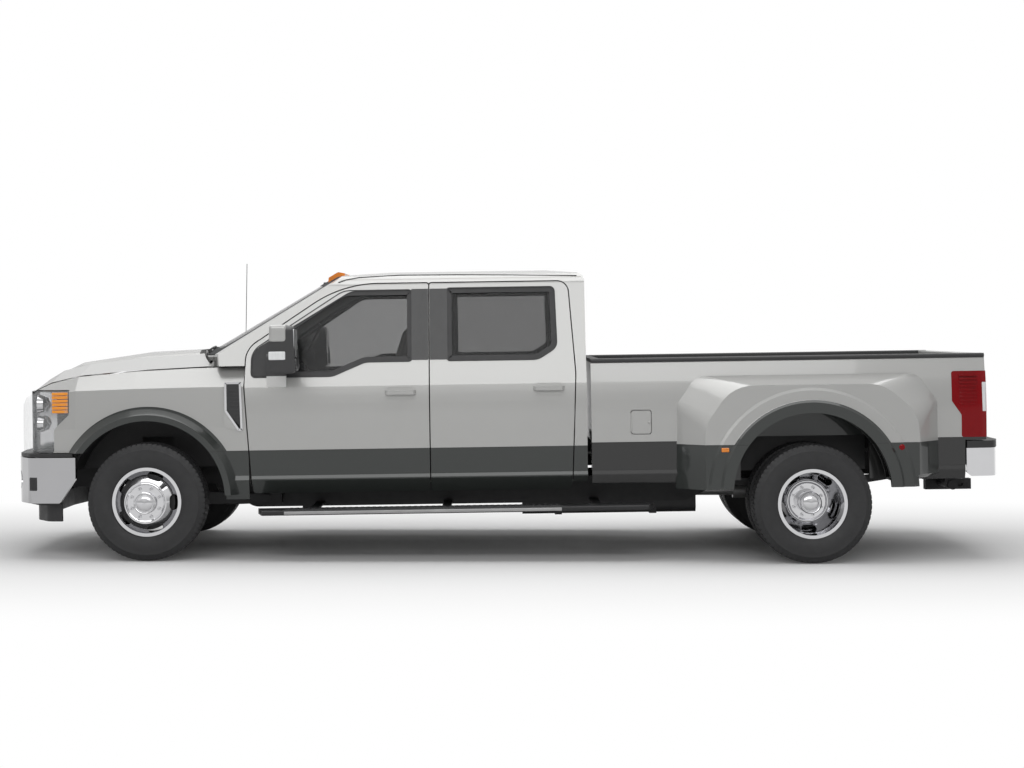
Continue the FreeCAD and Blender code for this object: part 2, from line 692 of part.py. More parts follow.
def window_outline(front):
    """Side view of a door's window."""
    belt, top = float(S.belt_height), float(WINDOW_TOP) - 8
    seam = float(S.door_seam_x)
    if front:
        edge = float(S.door_front_x) + 48
        low = belt - float(S.belt_dip)
        lower = [(edge, low, 25), (edge + 546, low, 140), (edge + 770, belt, 140), (seam - 117, belt, 25)]
        return lower + [(seam - 117, top, 25), (edge + 670, top, 150), (edge, belt + 80, 120)]
    edge = float(S.door_rear_x)
    ahead = [(seam + 123, belt, 20), (seam + 123, top + 8, 20)]
    return ahead + [(edge - 135, top + 8, 30), (edge - 123, belt + 80, 70), (edge - 250, belt, 120)]


def grown(outline, amount):
    """A closed XZ outline's corners moved outwards (or inwards when negative), as a new outline."""
    spots = [Vector(float(p[0]), 0, float(p[1])) for p in outline]
    radii = [float(p[2]) if len(p) > 2 else 0.0 for p in outline]
    count = len(spots)
    area = sum(a.x * b.z - b.x * a.z for a, b in zip(spots, spots[1:] + spots[:1]))
    turn = 1 if area > 0 else -1
    result = []
    for i in range(count):
        before = (spots[i] - spots[i - 1]).normalize()
        after = (spots[(i + 1) % count] - spots[i]).normalize()
        out_a = Vector(before.z, 0, -before.x) * turn
        out_b = Vector(after.z, 0, -after.x) * turn
        middle = (out_a + out_b).normalize()
        spot = spots[i] + middle * (amount / middle.dot(out_a))
        convex = (before.x * after.z - before.z * after.x) * turn > 0
        radius = radii[i] + (amount if convex else -amount)
        result.append((spot.x, spot.z, max(radius, 0.5) if radii[i] > 0 else 0.0))
    return result


def prism(outline, y0, y1):
    """An XZ outline pushed across the truck from y0 to y1."""
    return slab("xz", y0, y1, outline)


DOOR_X = (float(S.door_front_x) - 60, float(S.door_rear_x) + 60)


def door_zone(clearance):
    """The layer under the skin that a door fills: thick below the belt and upright at the sill, slim above."""
    thick, thin = float(S.door_thickness) + clearance, float(S.frame_thickness) + clearance
    belt, top = float(S.belt_height) + 5 + clearance, float(DOOR_TOP) + 40
    skin = skin_prism(DOOR_X[0], DOOR_X[1])
    deep = skin.cut(skin_prism(DOOR_X[0] - 1, DOOR_X[1] + 1, thick, 0))
    deep = deep.common(block(DOOR_X[0], DOOR_X[1], 300, 1100, 400, belt))
    upright = float(S.half_width - S.door_tuck) - thick
    deep = deep.cut(block(DOOR_X[0], DOOR_X[1], 290, upright, 390, S.crease_height + 29))
    slim = skin.cut(skin_prism(DOOR_X[0] - 1, DOOR_X[1] + 1, thin, 0))
    return deep.fuse(slim).common(block(DOOR_X[0], DOOR_X[1], 300, 1100, 400, top))


HINGE_HEIGHTS = (float(S.hinge_low), float(S.hinge_high))
HINGE_HALF = float(S.hinge_plate) / 2


def hinge_axis(front):
    """Plan view of a right door's hinge axis."""
    edge = S.door_front_x if front else S.door_seam_x
    return float(edge + S.hinge_setback), float(S.half_width - S.hinge_inset)


def hinge_arms(front):
    """Swan-necked plates that reach from the cab's pillar into the door and carry its pins."""
    x, y = hinge_axis(front)
    foot_y, reach = (818, 96) if front else (850, 88)
    arms = []
    for z in HINGE_HEIGHTS:
        low, high = z - HINGE_HALF, z + HINGE_HALF
        foot = block(x - reach, x + 6, foot_y, foot_y + 20, low, high)
        arm = block(x - 6, x + 6, foot_y, y, low, high).fuse(foot)
        arm = arm.fuse(rod((x, y, low), (x, y, high), S.hinge_pin + 4))
        arms.append(arm.cut(rod((x, y, low - 1), (x, y, high + 1), S.hinge_pin + S.running_fit)))
    return arms


def hinge_pockets(front):
    """Room for the hinge arms inside the door, and the pins that cross it."""
    x, y = hinge_axis(front)
    pockets, pins = [], []
    for z in HINGE_HEIGHTS:
        low, high = z - HINGE_HALF - 5, z + HINGE_HALF + 5
        room = [(x + 11, y - 90), (x + 11, y), (x - 4.1, y + 10.2), (x - 90, y - 24.6), (x - 90, y - 90)]
        pockets.append(slab("xy", low, high, room).fuse(rod((x, y, low), (x, y, high), S.hinge_pin + 7)))
        pins.append(rod((x, y, low - 2), (x, y, high + 2), S.hinge_pin))
    return pockets, pins


def swing_cone(front):
    """What the slim window frame must stay inside, ahead of its hinge, to clear the cab while it turns."""
    x, y = hinge_axis(front)
    belt, top = float(S.belt_height), float(DOOR_TOP)
    lean = float(S.door_top_inset - S.belt_inset) / (top - belt)
    start = y - float(S.half_width - S.belt_inset) + float(S.frame_thickness) - 1
    base, tip = belt + 5.5, top + 60
    foot = Vector(x, y, base)
    cone = Part.makeCone(start + lean * 5.5, start + lean * (tip - belt), tip - base, foot, Vector(0, 0, 1))
    return block(x - 100, x, 700, 1100, base, tip).cut(cone)


def door(front):
    """Right-hand door: outer skin to inner trim, framed window, pull handle, hinge pins."""
    body = door_zone(0).common(prism(door_outline(front), 300, 1100))
    pockets, pins = hinge_pockets(front)
    body = body.cut([prism(window_outline(front), 290, 1110), swing_cone(front)] + pockets)
    edge = float(S.door_seam_x) - 196 if front else float(S.door_rear_x) - 180
    low = 1149 if front else 1163
    w = float(S.half_width)
    grip = [(edge - 110, w - 20), (edge - 92, w + 24, 18), (edge + 92, w + 24, 18), (edge + 110, w - 20)]
    handle = slab("xy", low - 14, low + 14, grip)
    return fused([body, handle] + pins)


def door_glass(front):
    """Curved pane filling a door's window opening."""
    setback = 14.0
    behind = skin_prism(DOOR_X[0] - 1, DOOR_X[1] + 1, setback + float(S.glass_thickness), 0)
    band = skin_prism(DOOR_X[0], DOOR_X[1], setback).cut(behind)
    return band.common(prism(grown(window_outline(front), -float(S.seat_fit)), 300, 1100))


def screen_opening(inset=0.0):
    """Front view of the windscreen, pushed through the front of the cab."""
    low, high = float(S.cowl_height) + 36 + inset, float(ROOF_HEIGHT) - 104 - inset
    half = [(0, low - 8), (800 - inset, low, 60), (716 - inset, high, 60), (0, high + 14)]
    return slab("yz", -2300, -1120, full_section(half))


def rear_opening(inset=0.0):
    """The back window, pushed through the back of the cab."""
    low, high = 1392 + inset, 1838 - inset
    half = [(0, low), (620 - inset, low, 50), (570 - inset, high, 50), (0, high)]
    return slab("yz", float(S.cab_rear_x) - 120, float(S.cab_rear_x) + 40, full_section(half))


def arch(front, radius, y0, y1):
    """A cylinder across the truck about a wheel arch's centre."""
    x, z = (FRONT_X, FRONT_Z) if front else (REAR_X, REAR_Z)
    rise = float(S.front_arch_rise if front else S.rear_arch_rise)
    return rod((x, y0, z + rise), (x, y1, z + rise), radius)


def doorway(front):
    """All that is cut from the right cab side for a door: its own layer, and a smaller way through above the sill."""
    outline = door_outline(front)
    wide = prism(grown(outline, float(S.panel_gap)), 290, 1110)
    through = prism(grown(outline, -float(S.door_overlap)), 290, 1110)
    through = through.common(block(DOOR_X[0], DOOR_X[1], 290, 1110, S.floor_height + S.sill_step, 2000))
    x, y = hinge_axis(front)
    top = S.belt_height + S.panel_gap + 5
    inward = S.door_thickness + S.door_tuck - S.hinge_inset
    corner = math.hypot(float(S.hinge_setback), float(inward)) + float(S.panel_gap)
    room = block(x - 400, x + 12, y - S.hinge_room, 1110, 400, top).fuse(rod((x, y, 400), (x, y, top), corner))
    return wide.common(door_zone(4)).fuse([through, wide.common(room)])


HOOD_PIN = (float(S.cowl_x) + 160, float(S.cowl_height) - 45)
HOOD_ARM_Y = 819.0


def cab():
    """Hollow shell of roof, pillars, floor, firewall and back wall with its doorways and windows cut."""
    wall = float(S.cab_wall)
    outer = slab("xz", -1100, 1100, cab_outline()).common(skin_prism(-2120, 640)).common(screen_prism())
    cavity = slab("xz", -1100, 1100, cab_outline(wall))
    sides = skin_prism(-2120, 640, 60, 0).common(block(-2120, 640, -1100, 1100, 400, 2000))
    trim = float(S.half_width) - 96
    ledge = float(S.belt_height) - 30
    low = block(-2120, 640, -trim, trim, 400, ledge)
    high = block(-2120, 640, -1100, 1100, ledge, 2000)
    kick = -1690.0
    cavity = cavity.common(sides).common(low.fuse(high)).common(screen_prism(wall * 1.6))
    cavity = cavity.cut(both_sides(block(-2200, kick, 800, 1100, 300, 1330)))
    shell = outer.cut(cavity)
    shell = shell.common(cowl_cylinder(-float(S.cowl_gap)))
    nose = both_sides(block(-2200, kick, 842, 1100, 300, 1342))
    ways = [doorway(front) for front in (True, False)]
    wheel_room = both_sides(arch(True, S.front_arch_radius + S.arch_room, 500, 1100))
    cutters = [screen_opening(), rear_opening(), nose, wheel_room]
    for way in ways:
        cutters += [way, mirrored(way)]
    shell = shell.cut(cutters)
    seam = float(S.door_seam_x)
    post = block(seam - 118, seam - 10, 848, 980, float(S.floor_height) - 30, 1345)
    post = post.common(skin_prism(seam - 130, seam, float(S.door_thickness) + 6, 0))
    fixed = [both_sides(arm) for front in (True, False) for arm in hinge_arms(front)]
    x, z = HOOD_PIN
    box = block(x - 40, x + 40, 798, 842, z - 70, z + 31).common(cowl_cylinder(-float(S.cowl_gap)))
    slot = block(x - 70, x + 21, HOOD_ARM_Y - 13, HOOD_ARM_Y + 13, z - 62, z + 23)
    pin = rod((x, HOOD_ARM_Y - 17, z), (x, HOOD_ARM_Y + 17, z), S.hood_pin)
    shell = fused([shell, post, mirrored(post)] + fixed + [both_sides(box)])
    return fused([shell.cut(both_sides(slot)), both_sides(pin)])


def cab_panels(shell):
    """The shell parted where its roof and back panels are joined to the rest."""
    roof_line = float(DOOR_TOP) + float(S.panel_gap) + 1
    back_line = float(S.door_rear_x) + float(S.panel_gap) + 5
    above = block(-2400, 900, -1200, 1200, roof_line, 2200)
    behind = block(back_line, 900, -1200, 1200, 300, roof_line)
    return shell.cut([above, behind]), shell.common(above), shell.common(behind)


def cowl_cylinder(grow=0.0):
    """Upright cylinder whose front is the curved gap between hood and windscreen."""
    radius = 2403.0 + grow
    return Part.makeCylinder(radius, 2600, Vector(float(S.cowl_x) + 2375, 0, -200))


def screens():
    """Windscreen and back window."""
    fit = float(S.seat_fit)
    band = screen_prism(8).cut(screen_prism(8 + float(S.glass_thickness) * 2))
    front = band.common(screen_opening(fit))
    x = float(S.cab_rear_x) - 16
    pane = block(x - float(S.glass_thickness), x, -700, 700, 1300, 1900)
    return Part.makeCompound([front, pane.common(rear_opening(fit))])


for name, panel in zip(("cab", "cab_roof", "cab_back"), cab_panels(cab())):
    keep(name, name, panel)
keep("cab_glass", "cab_glass", screens())
for side, word in SIDES:
    keep(f"door_front_{word}", f"door_front_{word}", on_side(side, door(True)))
    keep(f"door_rear_{word}", f"door_rear_{word}", on_side(side, door(False)))
    keep(f"glass_front_{word}", f"glass_front_{word}", on_side(side, door_glass(True)))
    keep(f"glass_rear_{word}", f"glass_rear_{word}", on_side(side, door_glass(False)))


# Front end: fenders, hood, lamps, grille and bumper

NOSE = [
    # x, half width, shoulder, seam height, seam inset, centre height
    (-1700, 1012, 1203, 1345, 134, 1446),
    (-2085, 1012, 1203, 1334, 134, 1434),
    (-2474, 1008, 1198, 1318, 136, 1416),
    (-2875, 985, 1188, 1286, 138, 1376),
    (-3070, 950, 1162, 1242, 132, 1330),
    (-3180, 905, 1128, 1194, 120, 1268),
    (-3262, 845, 1100, 1150, 105, 1204),
]


def nose_volume(inset=0.0):
    """Front end before it is split into panels: straight-sided sections, narrowing to the grille."""
    wires = []
    for x, w, shoulder, seam, lean, middle in NOSE:
        w, top = w - inset, middle - inset
        low = 440.0
        half = [(0, low), (w - 30, low), (w, float(S.crease_height)), (w - 10, 600), (w + 4, 930)]
        half += [(w - 6, shoulder - inset * 0.4), (w - lean, seam - inset), (w * 0.42, top - 10), (0, top)]
        wires.append(rounded("yz", x + (inset if x < -3200 else 0), full_section(half)))
    return Part.makeLoft(wires, True, True)


def seam_outline(x_rear, gap, upper):
    """Side view of all that lies above (or below) the seam between hood and fenders."""
    line = [(x, seam + gap) for x, w, shoulder, seam, lean, middle in NOSE if x < x_rear]
    x1 = line[-1][0] - 120
    start = [(x_rear, NOSE[1][3] + 6 + gap)]
    level = 1800 if upper else 200
    tail = [(x1, line[-1][1] - 26), (x1, level), (x_rear, level)]
    return start + line + tail


def lamp_outline():
    """Side view of a headlamp: tall lens above, stepped at its rear lower corner."""
    return [(-2918, 1196), (-2918, 1030, 30), (-3026, 930, 30), (-3026, 770, 20), (-3330, 770), (-3330, 1196)]


def lamp_region(grow=0.0):
    return prism(grown(lamp_outline(), grow), 560 - grow, 1260)


def hood():
    """Panel from the cowl to the nose with a raised centre, 28 mm thick."""
    gap = float(S.panel_gap) / 2
    skin = nose_volume().cut(nose_volume(28))
    region = slab("xz", -1100, 1100, seam_outline(-1930, gap, True))
    front = block(-3400, -3222, -1100, 1100, 900, 1700)
    back = cowl_cylinder()
    panel = skin.common(region).cut([front, back])
    dome = []
    for x, half, height in ((-2110, 420, 22), (-2500, 410, 26), (-2950, 370, 20), (-3130, 330, 2)):
        top = nose_top(x)
        section = [(0, top - 40), (half + 40, top - 40), (half, top - 3)]
        section += [(half - 70, top + height - 4, 60), (0, top + height)]
        dome.append(rounded("yz", x, full_section(section)))
    bulge = Part.makeLoft(dome, True, True)
    under = Part.makeLoft([w.translated(Vector(0, 0, -30)) for w in dome], True, True)
    panel = panel.cut(under).fuse(bulge.cut(nose_volume(28)).cut(under)).cut(back)
    return fused([panel, both_sides(hood_arm())])


def hood_arm():
    """Right hinge arm, from under the hood to its pin behind the cowl's front."""
    x, z = HOOD_PIN
    side, half = HOOD_ARM_Y, 9.0
    outline = [(x - 8, z + 9), (x - 73, z - 51), (x - 135, z - 55)]
    outline += [(x - 135, z - 85), (x - 57, z - 69), (x + 8, z - 9)]
    eye = rod((x, side - half, z), (x, side + half, z), S.hood_pin + 8)
    arm = slab("xz", side - half, side + half, outline).fuse(eye)
    return arm.cut(rod((x, side - 20, z), (x, side + 20, z), S.hood_pin + S.running_fit))


def nose_top(x):
    """Height of the hood's centre line at a station."""
    rows = [(row[0], row[5]) for row in NOSE]
    for (x0, z0), (x1, z1) in zip(rows, rows[1:]):
        if x1 <= x <= x0:
            return z0 + (z1 - z0) * (x - x0) / (x1 - x0)
    return rows[-1][1]


def front_fender():
    """Right fender: skin to the seam, arch opening, raised arch lip and the bare vent frame."""
    gap = float(S.panel_gap) / 2
    skin = nose_volume().cut(nose_volume(24))
    region = slab("xz", 560, 1100, seam_outline(-1700, -gap, False))
    body = skin.common(region).common(block(-3225, -1700, 560, 1100, 430, 1400))
    way = prism(grown(door_outline(True), float(S.panel_gap)), 500, 1110)
    under_cowl = block(-2900, -1600, 0, 846, 400, 1500)
    radius = float(S.front_arch_radius)
    lamp = lamp_region(float(S.seat_fit))
    behind_bumper = block(-3400, -2600, 500, 1200, 300, 770)
    body = body.cut([way, under_cowl, arch(True, radius, 500, 1200), lamp, behind_bumper])
    lip = ring(True, radius, radius + 96, radius + 40, 985, float(S.front_flare_half))
    lip = lip.common(block(-3100, -1740, 900, 1200, 474, 1200)).cut([behind_bumper, way])
    brace = block(-1900, -1850, 842 + float(S.seat_fit), 1000, 1170, 1190)
    vent_outline = [(-1862, 1196, 30), (-1862, 932, 30), (-1790, 910, 30)]
    vent_outline += [(-1750, 940, 30), (-1750, 1190, 30), (-1800, 1226, 30)]
    vent = slab("xz", 1006, 1024, vent_outline)
    return fused([body.fuse(lip).fuse(vent), brace])


def ring(front, inner, wide, narrow, y0, y1):
    """Sloping lip round an arch: wide at the panel and narrow at its outermost edge."""
    x, z = (FRONT_X, FRONT_Z) if front else (REAR_X, REAR_Z)
    z += float(S.front_arch_rise if front else S.rear_arch_rise)
    cone = Part.makeCone(float(wide), float(narrow), y1 - y0, Vector(x, y0, z), Vector(0, 1, 0))
    return cone.cut(arch(front, inner, y0 - 10, y1 + 10))


def liner():
    """Right front wheel housing, open below, between the wheel and the engine bay."""
    radius = float(S.front_arch_radius) + 22
    outside = float(S.front_arch_radius + S.arch_room - S.seat_fit)
    shell = arch(True, outside, 560, 925).cut(arch(True, radius, 565, 970))
    x, z = FRONT_X, FRONT_Z
    shell = shell.cut(block(x - 700, x + 700, 500, 1000, -400, 640))
    tower = block(x - 110, x + 110, 540, 700, 0, 850)
    return shell.cut(tower)


def headlamp():
    """Right headlamp filling the corner of the nose, 110 mm deep."""
    body = nose_volume(3).common(lamp_region(0)).common(block(-3400, -2900, 600, 1100, 770, 1190))
    hollow = nose_volume(113)
    region = slab("xz", 500, 1200, seam_outline(-2040, -float(S.panel_gap), False))
    return body.cut(hollow).common(region).cut(block(-3400, -2800, 0, 684 + float(S.seat_fit), 0, 2000))


def grille():
    """Chrome surround and three bars with an open mesh of uprights behind them, no badge."""
    front, back = -3302, -3232
    half, low, high = 684, 772, 1184
    opening = block(front - 5, back + 5, -half + 46, half - 46, low + 44, high - 44)
    frame_piece = block(front + 8, back, -half, half, low, high).cut(opening)
    bars = [block(front, back + 4, -half + 20, half - 20, z, z + 44) for z in (872, 956, 1040)]
    uprights = [block(front + 26, back - 16, y - 4, y + 4, low + 20, high - 20) for y in range(-600, 601, 60)]
    panel = fused([frame_piece] + bars + uprights)
    curve = Part.makeCylinder(3600, 900, Vector(front + 3600, 0, 600))
    return panel.common(curve)


def bumper_plan(inset):
    """Plan view of the front bumper's face, half, from the middle to its rear end."""
    x = float(S.bumper_front_x) + inset
    corner = [(x + 48, 780 - inset * 0.5, 300 - inset), (x + 160, 960 - inset * 0.6, 90)]
    return [(x, 0), (x + 6, 420)] + corner + [(x + 477 - inset, 1004 - inset * 0.8)]


def plan_band(low, high, outer, inner):
    """A band curved in plan between two half plans, mirrored across the middle."""
    right = slab("xy", low, high, outer + list(reversed(inner)))
    return right.fuse(mirrored(right)).removeSplitter()


def bumper_front():
    """Chrome bumper, hollow behind, with openings for the fog lamps and the air intake."""
    body = plan_band(430, 744, bumper_plan(0), bumper_plan(58))
    profile = [(-3400, 470), (-3330, 424, 60), (-2990, 424, 40)]
    profile += [(-2870, 600, 60), (-2870, 738, 10), (-3400, 738, 30)]
    shape = slab("xz", -1100, 1100, profile)
    fog = rod((-3500, 770, 584), (-3000, 770, 584), S.fog_radius)
    intake = block(-3500, -3200, -300, 300, 470, 560)
    hooks = both_sides(block(-3500, -3280, 334, 372, 420, 528))
    return body.common(shape).cut([fog, mirrored(fog), intake, hooks])


def bumper_pad():
    """Black pad along the top of the front bumper, the valance below it and its brackets."""
    pad = plan_band(744, 766, bumper_plan(4), bumper_plan(70))
    pad = pad.common(block(-3500, -2895, -1100, 1100, 700, 800))
    valance = plan_band(300, 424, bumper_plan(110), bumper_plan(150))
    cutter = block(-2990, -2700, -1100, 1100, 200, 500)
    shelf = plan_band(414, 424, bumper_plan(58), bumper_plan(150))
    shelf = shelf.common(block(-3500, -2990, -1100, 1100, 300, 500))
    ties = both_sides(block(-3284, -3230, 380, 430, 418, 700))
    beam = plan_band(560, 700, bumper_plan(58), bumper_plan(84))
    beam = beam.common(block(-3400, -3160, -690, 690, 500, 800))
    riser = block(-3287.5, -3262, -400, 400, 690, 750)
    return fused([pad, valance.cut(cutter), shelf, ties, beam, riser])


def fog_lamps():
    """Round lamps in the bumper's openings."""
    lamp = rod((-3262, 770, 584), (-3210, 770, 584), float(S.fog_radius - S.seat_fit))
    return both_sides(lamp)


keep("hood", "hood", hood())
keep("grille", "grille", grille())
keep("bumper_front", "bumper_front", bumper_front())
keep("valance_front", "valance_front", bumper_pad())
for side, word in SIDES:
    keep(f"fender_front_{word}", f"fender_front_{word}", on_side(side, front_fender()))
keep("wheel_liners", "wheel_liners", both_sides(liner()))
keep("headlamps", "headlamps", Part.makeCompound([both_sides(headlamp()), fog_lamps()]))


# Bed, rear fenders, tailgate and rear bumper

BED_FRONT = float(S.cab_rear_x + S.bed_gap)


def bed_skin(inset=0.0, top=None):
    """Section of the bed sides, right half."""
    w = float(S.bed_half_width) - inset
    top = float(S.bed_rail_height) if top is None else top
    low, crease = float(S.bed_skirt_height), float(S.crease_height)
    side = [(0, low), (w - 26, low, 8), (w - 2, crease, 12), (w - 8, crease + 29, 20)]
    side += [(w, 940, 3000), (w - 3, 1130, 900)]
    return side + [(w - 12, float(S.shoulder_height), 30), (w - 34, top, 12), (0, top)]


def lamp_notch(grow=0.0):
    """Side view of a tail lamp: tall, narrower below a slanted step."""
    rear = float(S.bed_rear_x)
    outline = [(rear - 229, 1236, 18), (rear - 229, 1034, 20), (rear - 165, 940, 20)]
    outline += [(rear - 165, 789, 15), (rear + 40, 789), (rear + 40, 1236)]
    return prism(grown(outline, grow), 900 - grow, 1172)


def fuel_flap_outline():
    return [(885, 839, 22), (885, 1006, 22), (1029, 1006, 22), (1029, 839, 22)]


def fuel_flap():
    """Left bedside flap, drawn for the right and mirrored: panel with a hinge roll and a finger lip."""
    panel = prism(grown(fuel_flap_outline(), -5.5), 980, 1040)
    skin = slab("yz", 800, 1100, full_section(bed_skin(1)))
    skin = skin.cut(slab("yz", 790, 1110, full_section(bed_skin(12))))
    lip = rod((1010, 998, 922), (1010, 1012, 922), 9)
    pin_x = 885 + 5 + float(S.seat_fit)
    barrel = rod((pin_x, 1002, 862), (pin_x, 1002, 983), 5)
    return fused([panel.common(skin), lip, barrel])


GATE_PIN = (float(S.bed_rear_x) - 46, float(S.bed_floor_height) - 16)


def bed():
    """Open box: double sides, ribbed floor, front wall, wheel housings and cross sills underneath."""
    front, rear = BED_FRONT, float(S.bed_rear_x)
    half, floor = float(S.bed_inner_half), float(S.bed_floor_height)
    outer = slab("yz", front, rear, full_section(bed_skin()))
    corner = [(front, 480), (front, 1400), (rear, 1400), (rear, 770), (rear - 142, 770), (rear - 142, 480)]
    outer = outer.common(slab("xz", -1100, 1100, corner))
    gate = float(S.tailgate_thickness)
    load = block(front + 62, rear + 50, -half, half, floor, 1500)
    inside = block(front - 10, rear + 50, -half + 14, half - 14, 300, floor - float(S.bed_floor_thickness))
    hollow = both_sides(block(front + 30, rear - 250, half + 16, 968, 300, 1262))
    box = outer.cut([load, inside, hollow])
    box = box.cut(block(rear - gate - 14, rear + 50, -half - 16, half + 16, 700, 1500))
    house_x = REAR_X
    inner = float(S.wheelhouse_half_gap)
    house_outline = [(house_x - 470, floor - 42), (house_x - 430, 1010, 110)]
    house_outline += [(house_x + 430, 1010, 110), (house_x + 470, floor - 42)]
    house = slab("xz", inner, half + 30, house_outline)
    well_outline = [(house_x - 452, floor - 60), (house_x - 412, 988, 100)]
    well_outline += [(house_x + 412, 988, 100), (house_x + 452, floor - 60)]
    well = slab("xz", inner + 18, half + 120, well_outline)
    wide_well = block(house_x - 440, house_x + 440, inner + 18, half + 120, 500, floor - 30)
    ribs = []
    for y in range(-560, 561, 140):
        ribs.append(block(front + 62, rear - gate - 30, y - 22, y + 22, floor, floor + 12))
    ledge = both_sides(block(house_x - 450, house_x + 450, inner, inner + 18, floor - 42, floor + 5))
    body = box.fuse([both_sides(house), ledge] + ribs).cut([both_sides(well), both_sides(wide_well)])
    arch_hole = arch(False, float(S.rear_arch_radius) + 6, 900, 1200)
    lamps = lamp_notch(float(S.seat_fit))
    flap = prism(fuel_flap_outline(), 930, 1130)
    body = body.cut([arch_hole, mirrored(arch_hole), lamps, mirrored(lamps), mirrored(flap)])
    pocket = block(870, 1044, 900, 975, 824, 1021).cut(block(890, 1024, 930, 990, 844, 1001))
    pocket = pocket.fuse(rod((957, 930, 922), (957, 958, 922), 44))
    x, z = GATE_PIN
    pivot = rod((x, half + 10, z), (x, half + 40, z), S.gate_pin + S.running_fit)
    body = body.cut(both_sides(pivot))
    sills = [block(x, x + 70, -half + 14, half - 14, floor - 72, floor - 40) for x in (800, 1500, 2660, 3050)]
    sills += [block(x, x + 70, -inner, inner, floor - 72, floor - 40) for x in (1820, 2240)]
    return fused([body, mirrored(pocket)] + sills)


def rail_caps():
    """Black caps over both bed sides and the front wall."""
    top, half = float(S.bed_rail_height), float(S.bed_half_width)
    front, rear = BED_FRONT, float(S.bed_rear_x)
    thick = float(S.rail_cap_thickness)
    outline = [(half - 30, top), (half - 28, top + thick, 14), (866, top + thick, 10), (866, top)]
    side = slab("yz", front, rear, outline)
    wall = block(front, front + 62, -870, 870, top, top + thick)
    return fused([side, mirrored(side), wall])


def framed(half, low, high, radius):
    """A rounded rectangle about the middle of the truck, seen from behind."""
    return [(-half, low, radius), (half, low, radius), (half, high, radius), (-half, high, radius)]


def tailgate():
    """Drop-down gate with its pressed panel, latch handle bezel and inner ribs."""
    rear, thick = float(S.bed_rear_x), float(S.tailgate_thickness)
    half = float(S.bed_inner_half) + 8
    low = float(S.bed_floor_height) - 32
    top = float(S.bed_rail_height) + 18
    outline = [(-half, low, 10), (half, low, 10), (half, top, 16), (-half, top, 16)]
    panel = slab("yz", rear - thick, rear, outline)
    press = slab("yz", rear - 7, rear + 5, framed(half - 90, low + 90, top - 110, 40))
    handle = slab("yz", rear - 8, rear + 10, framed(130, top - 96, top - 16, 20))
    grip = block(rear - 20, rear + 30, -80, 80, top - 74, top - 40)
    lip_outline = [(rear - thick, top - 6), (rear - thick, top + 6, 5), (rear + 8, top + 6, 5)]
    lip_outline += [(rear + 8, top - 14, 8), (rear - 6, top - 24)]
    lip = slab("xz", -half + 4, half - 4, lip_outline)
    x, z = GATE_PIN
    pins = both_sides(rod((x, half - 20, z), (x, half + 30, z), S.gate_pin))
    return fused([panel.cut(press), handle, lip, pins]).cut(grip)


def rear_fender():
    """Right wide fender: sloping plateau over the twin wheels, 26 mm skin, raised arch lips."""
    base_y, face_y = float(S.bed_half_width) - 14, float(S.fender_half_width)
    base = [(1187, 470), (1187, 1050, 90), (1330, 1228, 160), (2830, 1228, 160)]
    base += [(2973, 1050, 90), (2973, 553), (2910, 527)]
    face = [(1372, 470), (1372, 900, 240), (1560, 1163, 260), (2560, 1163, 260)]
    face += [(2800, 960, 240), (2800, 553), (2760, 527)]
    start, finish = rounded("xz", base_y, base), rounded("xz", face_y, face)
    solid = Part.makeLoft([start, finish], True, True)
    inner_start, inner_finish = rounded("xz", base_y - 30, base), rounded("xz", face_y - 26, face)
    inner = Part.makeLoft([inner_start, inner_finish], True, True)
    inner = inner.common(block(1215, 2945, 900, 1200, 400, 1200))
    radius = float(S.rear_arch_radius)
    hole = arch(False, radius, 900, 1300)
    flare = ring(False, radius, radius + 112, radius + 70, face_y - 14, float(S.flare_half_width))
    step = ring(False, radius, radius + 190, radius + 150, face_y - 14, face_y + 12)
    lips = flare.fuse(step).common(block(1300, 2860, 1100, 1300, 474, 1160))
    skin = solid.cut(inner)
    behind = slab("yz", 1100, 3050, full_section(bed_skin()))
    return fused([skin, lips]).cut(hole).cut(behind)


def tail_lamp():
    """Right tail lamp, wrapping the rear corner of the bed."""
    skin = slab("yz", float(S.bed_rear_x) - 300, float(S.bed_rear_x) + 4, full_section(bed_skin()))
    return lamp_notch().common(skin)


def rear_plan(inset):
    """Half plan of the rear bumper."""
    x = float(S.bumper_rear_x) - inset
    wide = inset * 0.7
    return [(x, 0), (x, 330), (x - 4, 800, 200), (x - 60, 985 - wide, 70), (x - 252 + inset, 1002 - wide)]


def bumper_rear():
    """Chrome step bumper with a bare plate recess and a cut for the receiver."""
    body = plan_band(524, 714, rear_plan(0), rear_plan(50))
    plate = block(float(S.bumper_rear_x) - 22, float(S.bumper_rear_x) + 20, -165, 165, 560, 700)
    profile = [(3100, 600), (3190, 524), (3500, 524, 30), (3500, 716), (3100, 716)]
    shape = slab("xz", -1100, 1100, profile)
    inside = plan_band(560, 700, rear_plan(22), rear_plan(60))
    return body.common(shape).cut([plate, inside.cut(block(3200, 3500, -190, 190, 500, 720))])


def bumper_step():
    """Black tread pad over the rear bumper and its brackets."""
    pad = plan_band(714, 762, rear_plan(-4), rear_plan(150)).common(block(3160, 3500, -1100, 1100, 600, 770))
    floor = plan_band(714, 730, rear_plan(60), rear_plan(190)).common(block(3170, 3400, -440, 440, 600, 770))
    arms = both_sides(block(3210, 3357, 366, 424, 560, 716))
    return fused([pad, floor, arms])


keep("bed", "bed", bed())
keep("bed_rail_caps", "bed_rail_caps", rail_caps())
keep("tailgate", "tailgate", tailgate())
keep("bumper_rear", "bumper_rear", bumper_rear())
keep("bumper_step", "bumper_step", bumper_step())
keep("fuel_flap", "fuel_flap", mirrored(fuel_flap()))
keep("tail_lamps", "tail_lamps", both_sides(tail_lamp()))
for side, word in SIDES:
    keep(f"fender_rear_{word}", f"fender_rear_{word}", on_side(side, rear_fender()))


# Running boards, mirrors, lamps and aerial

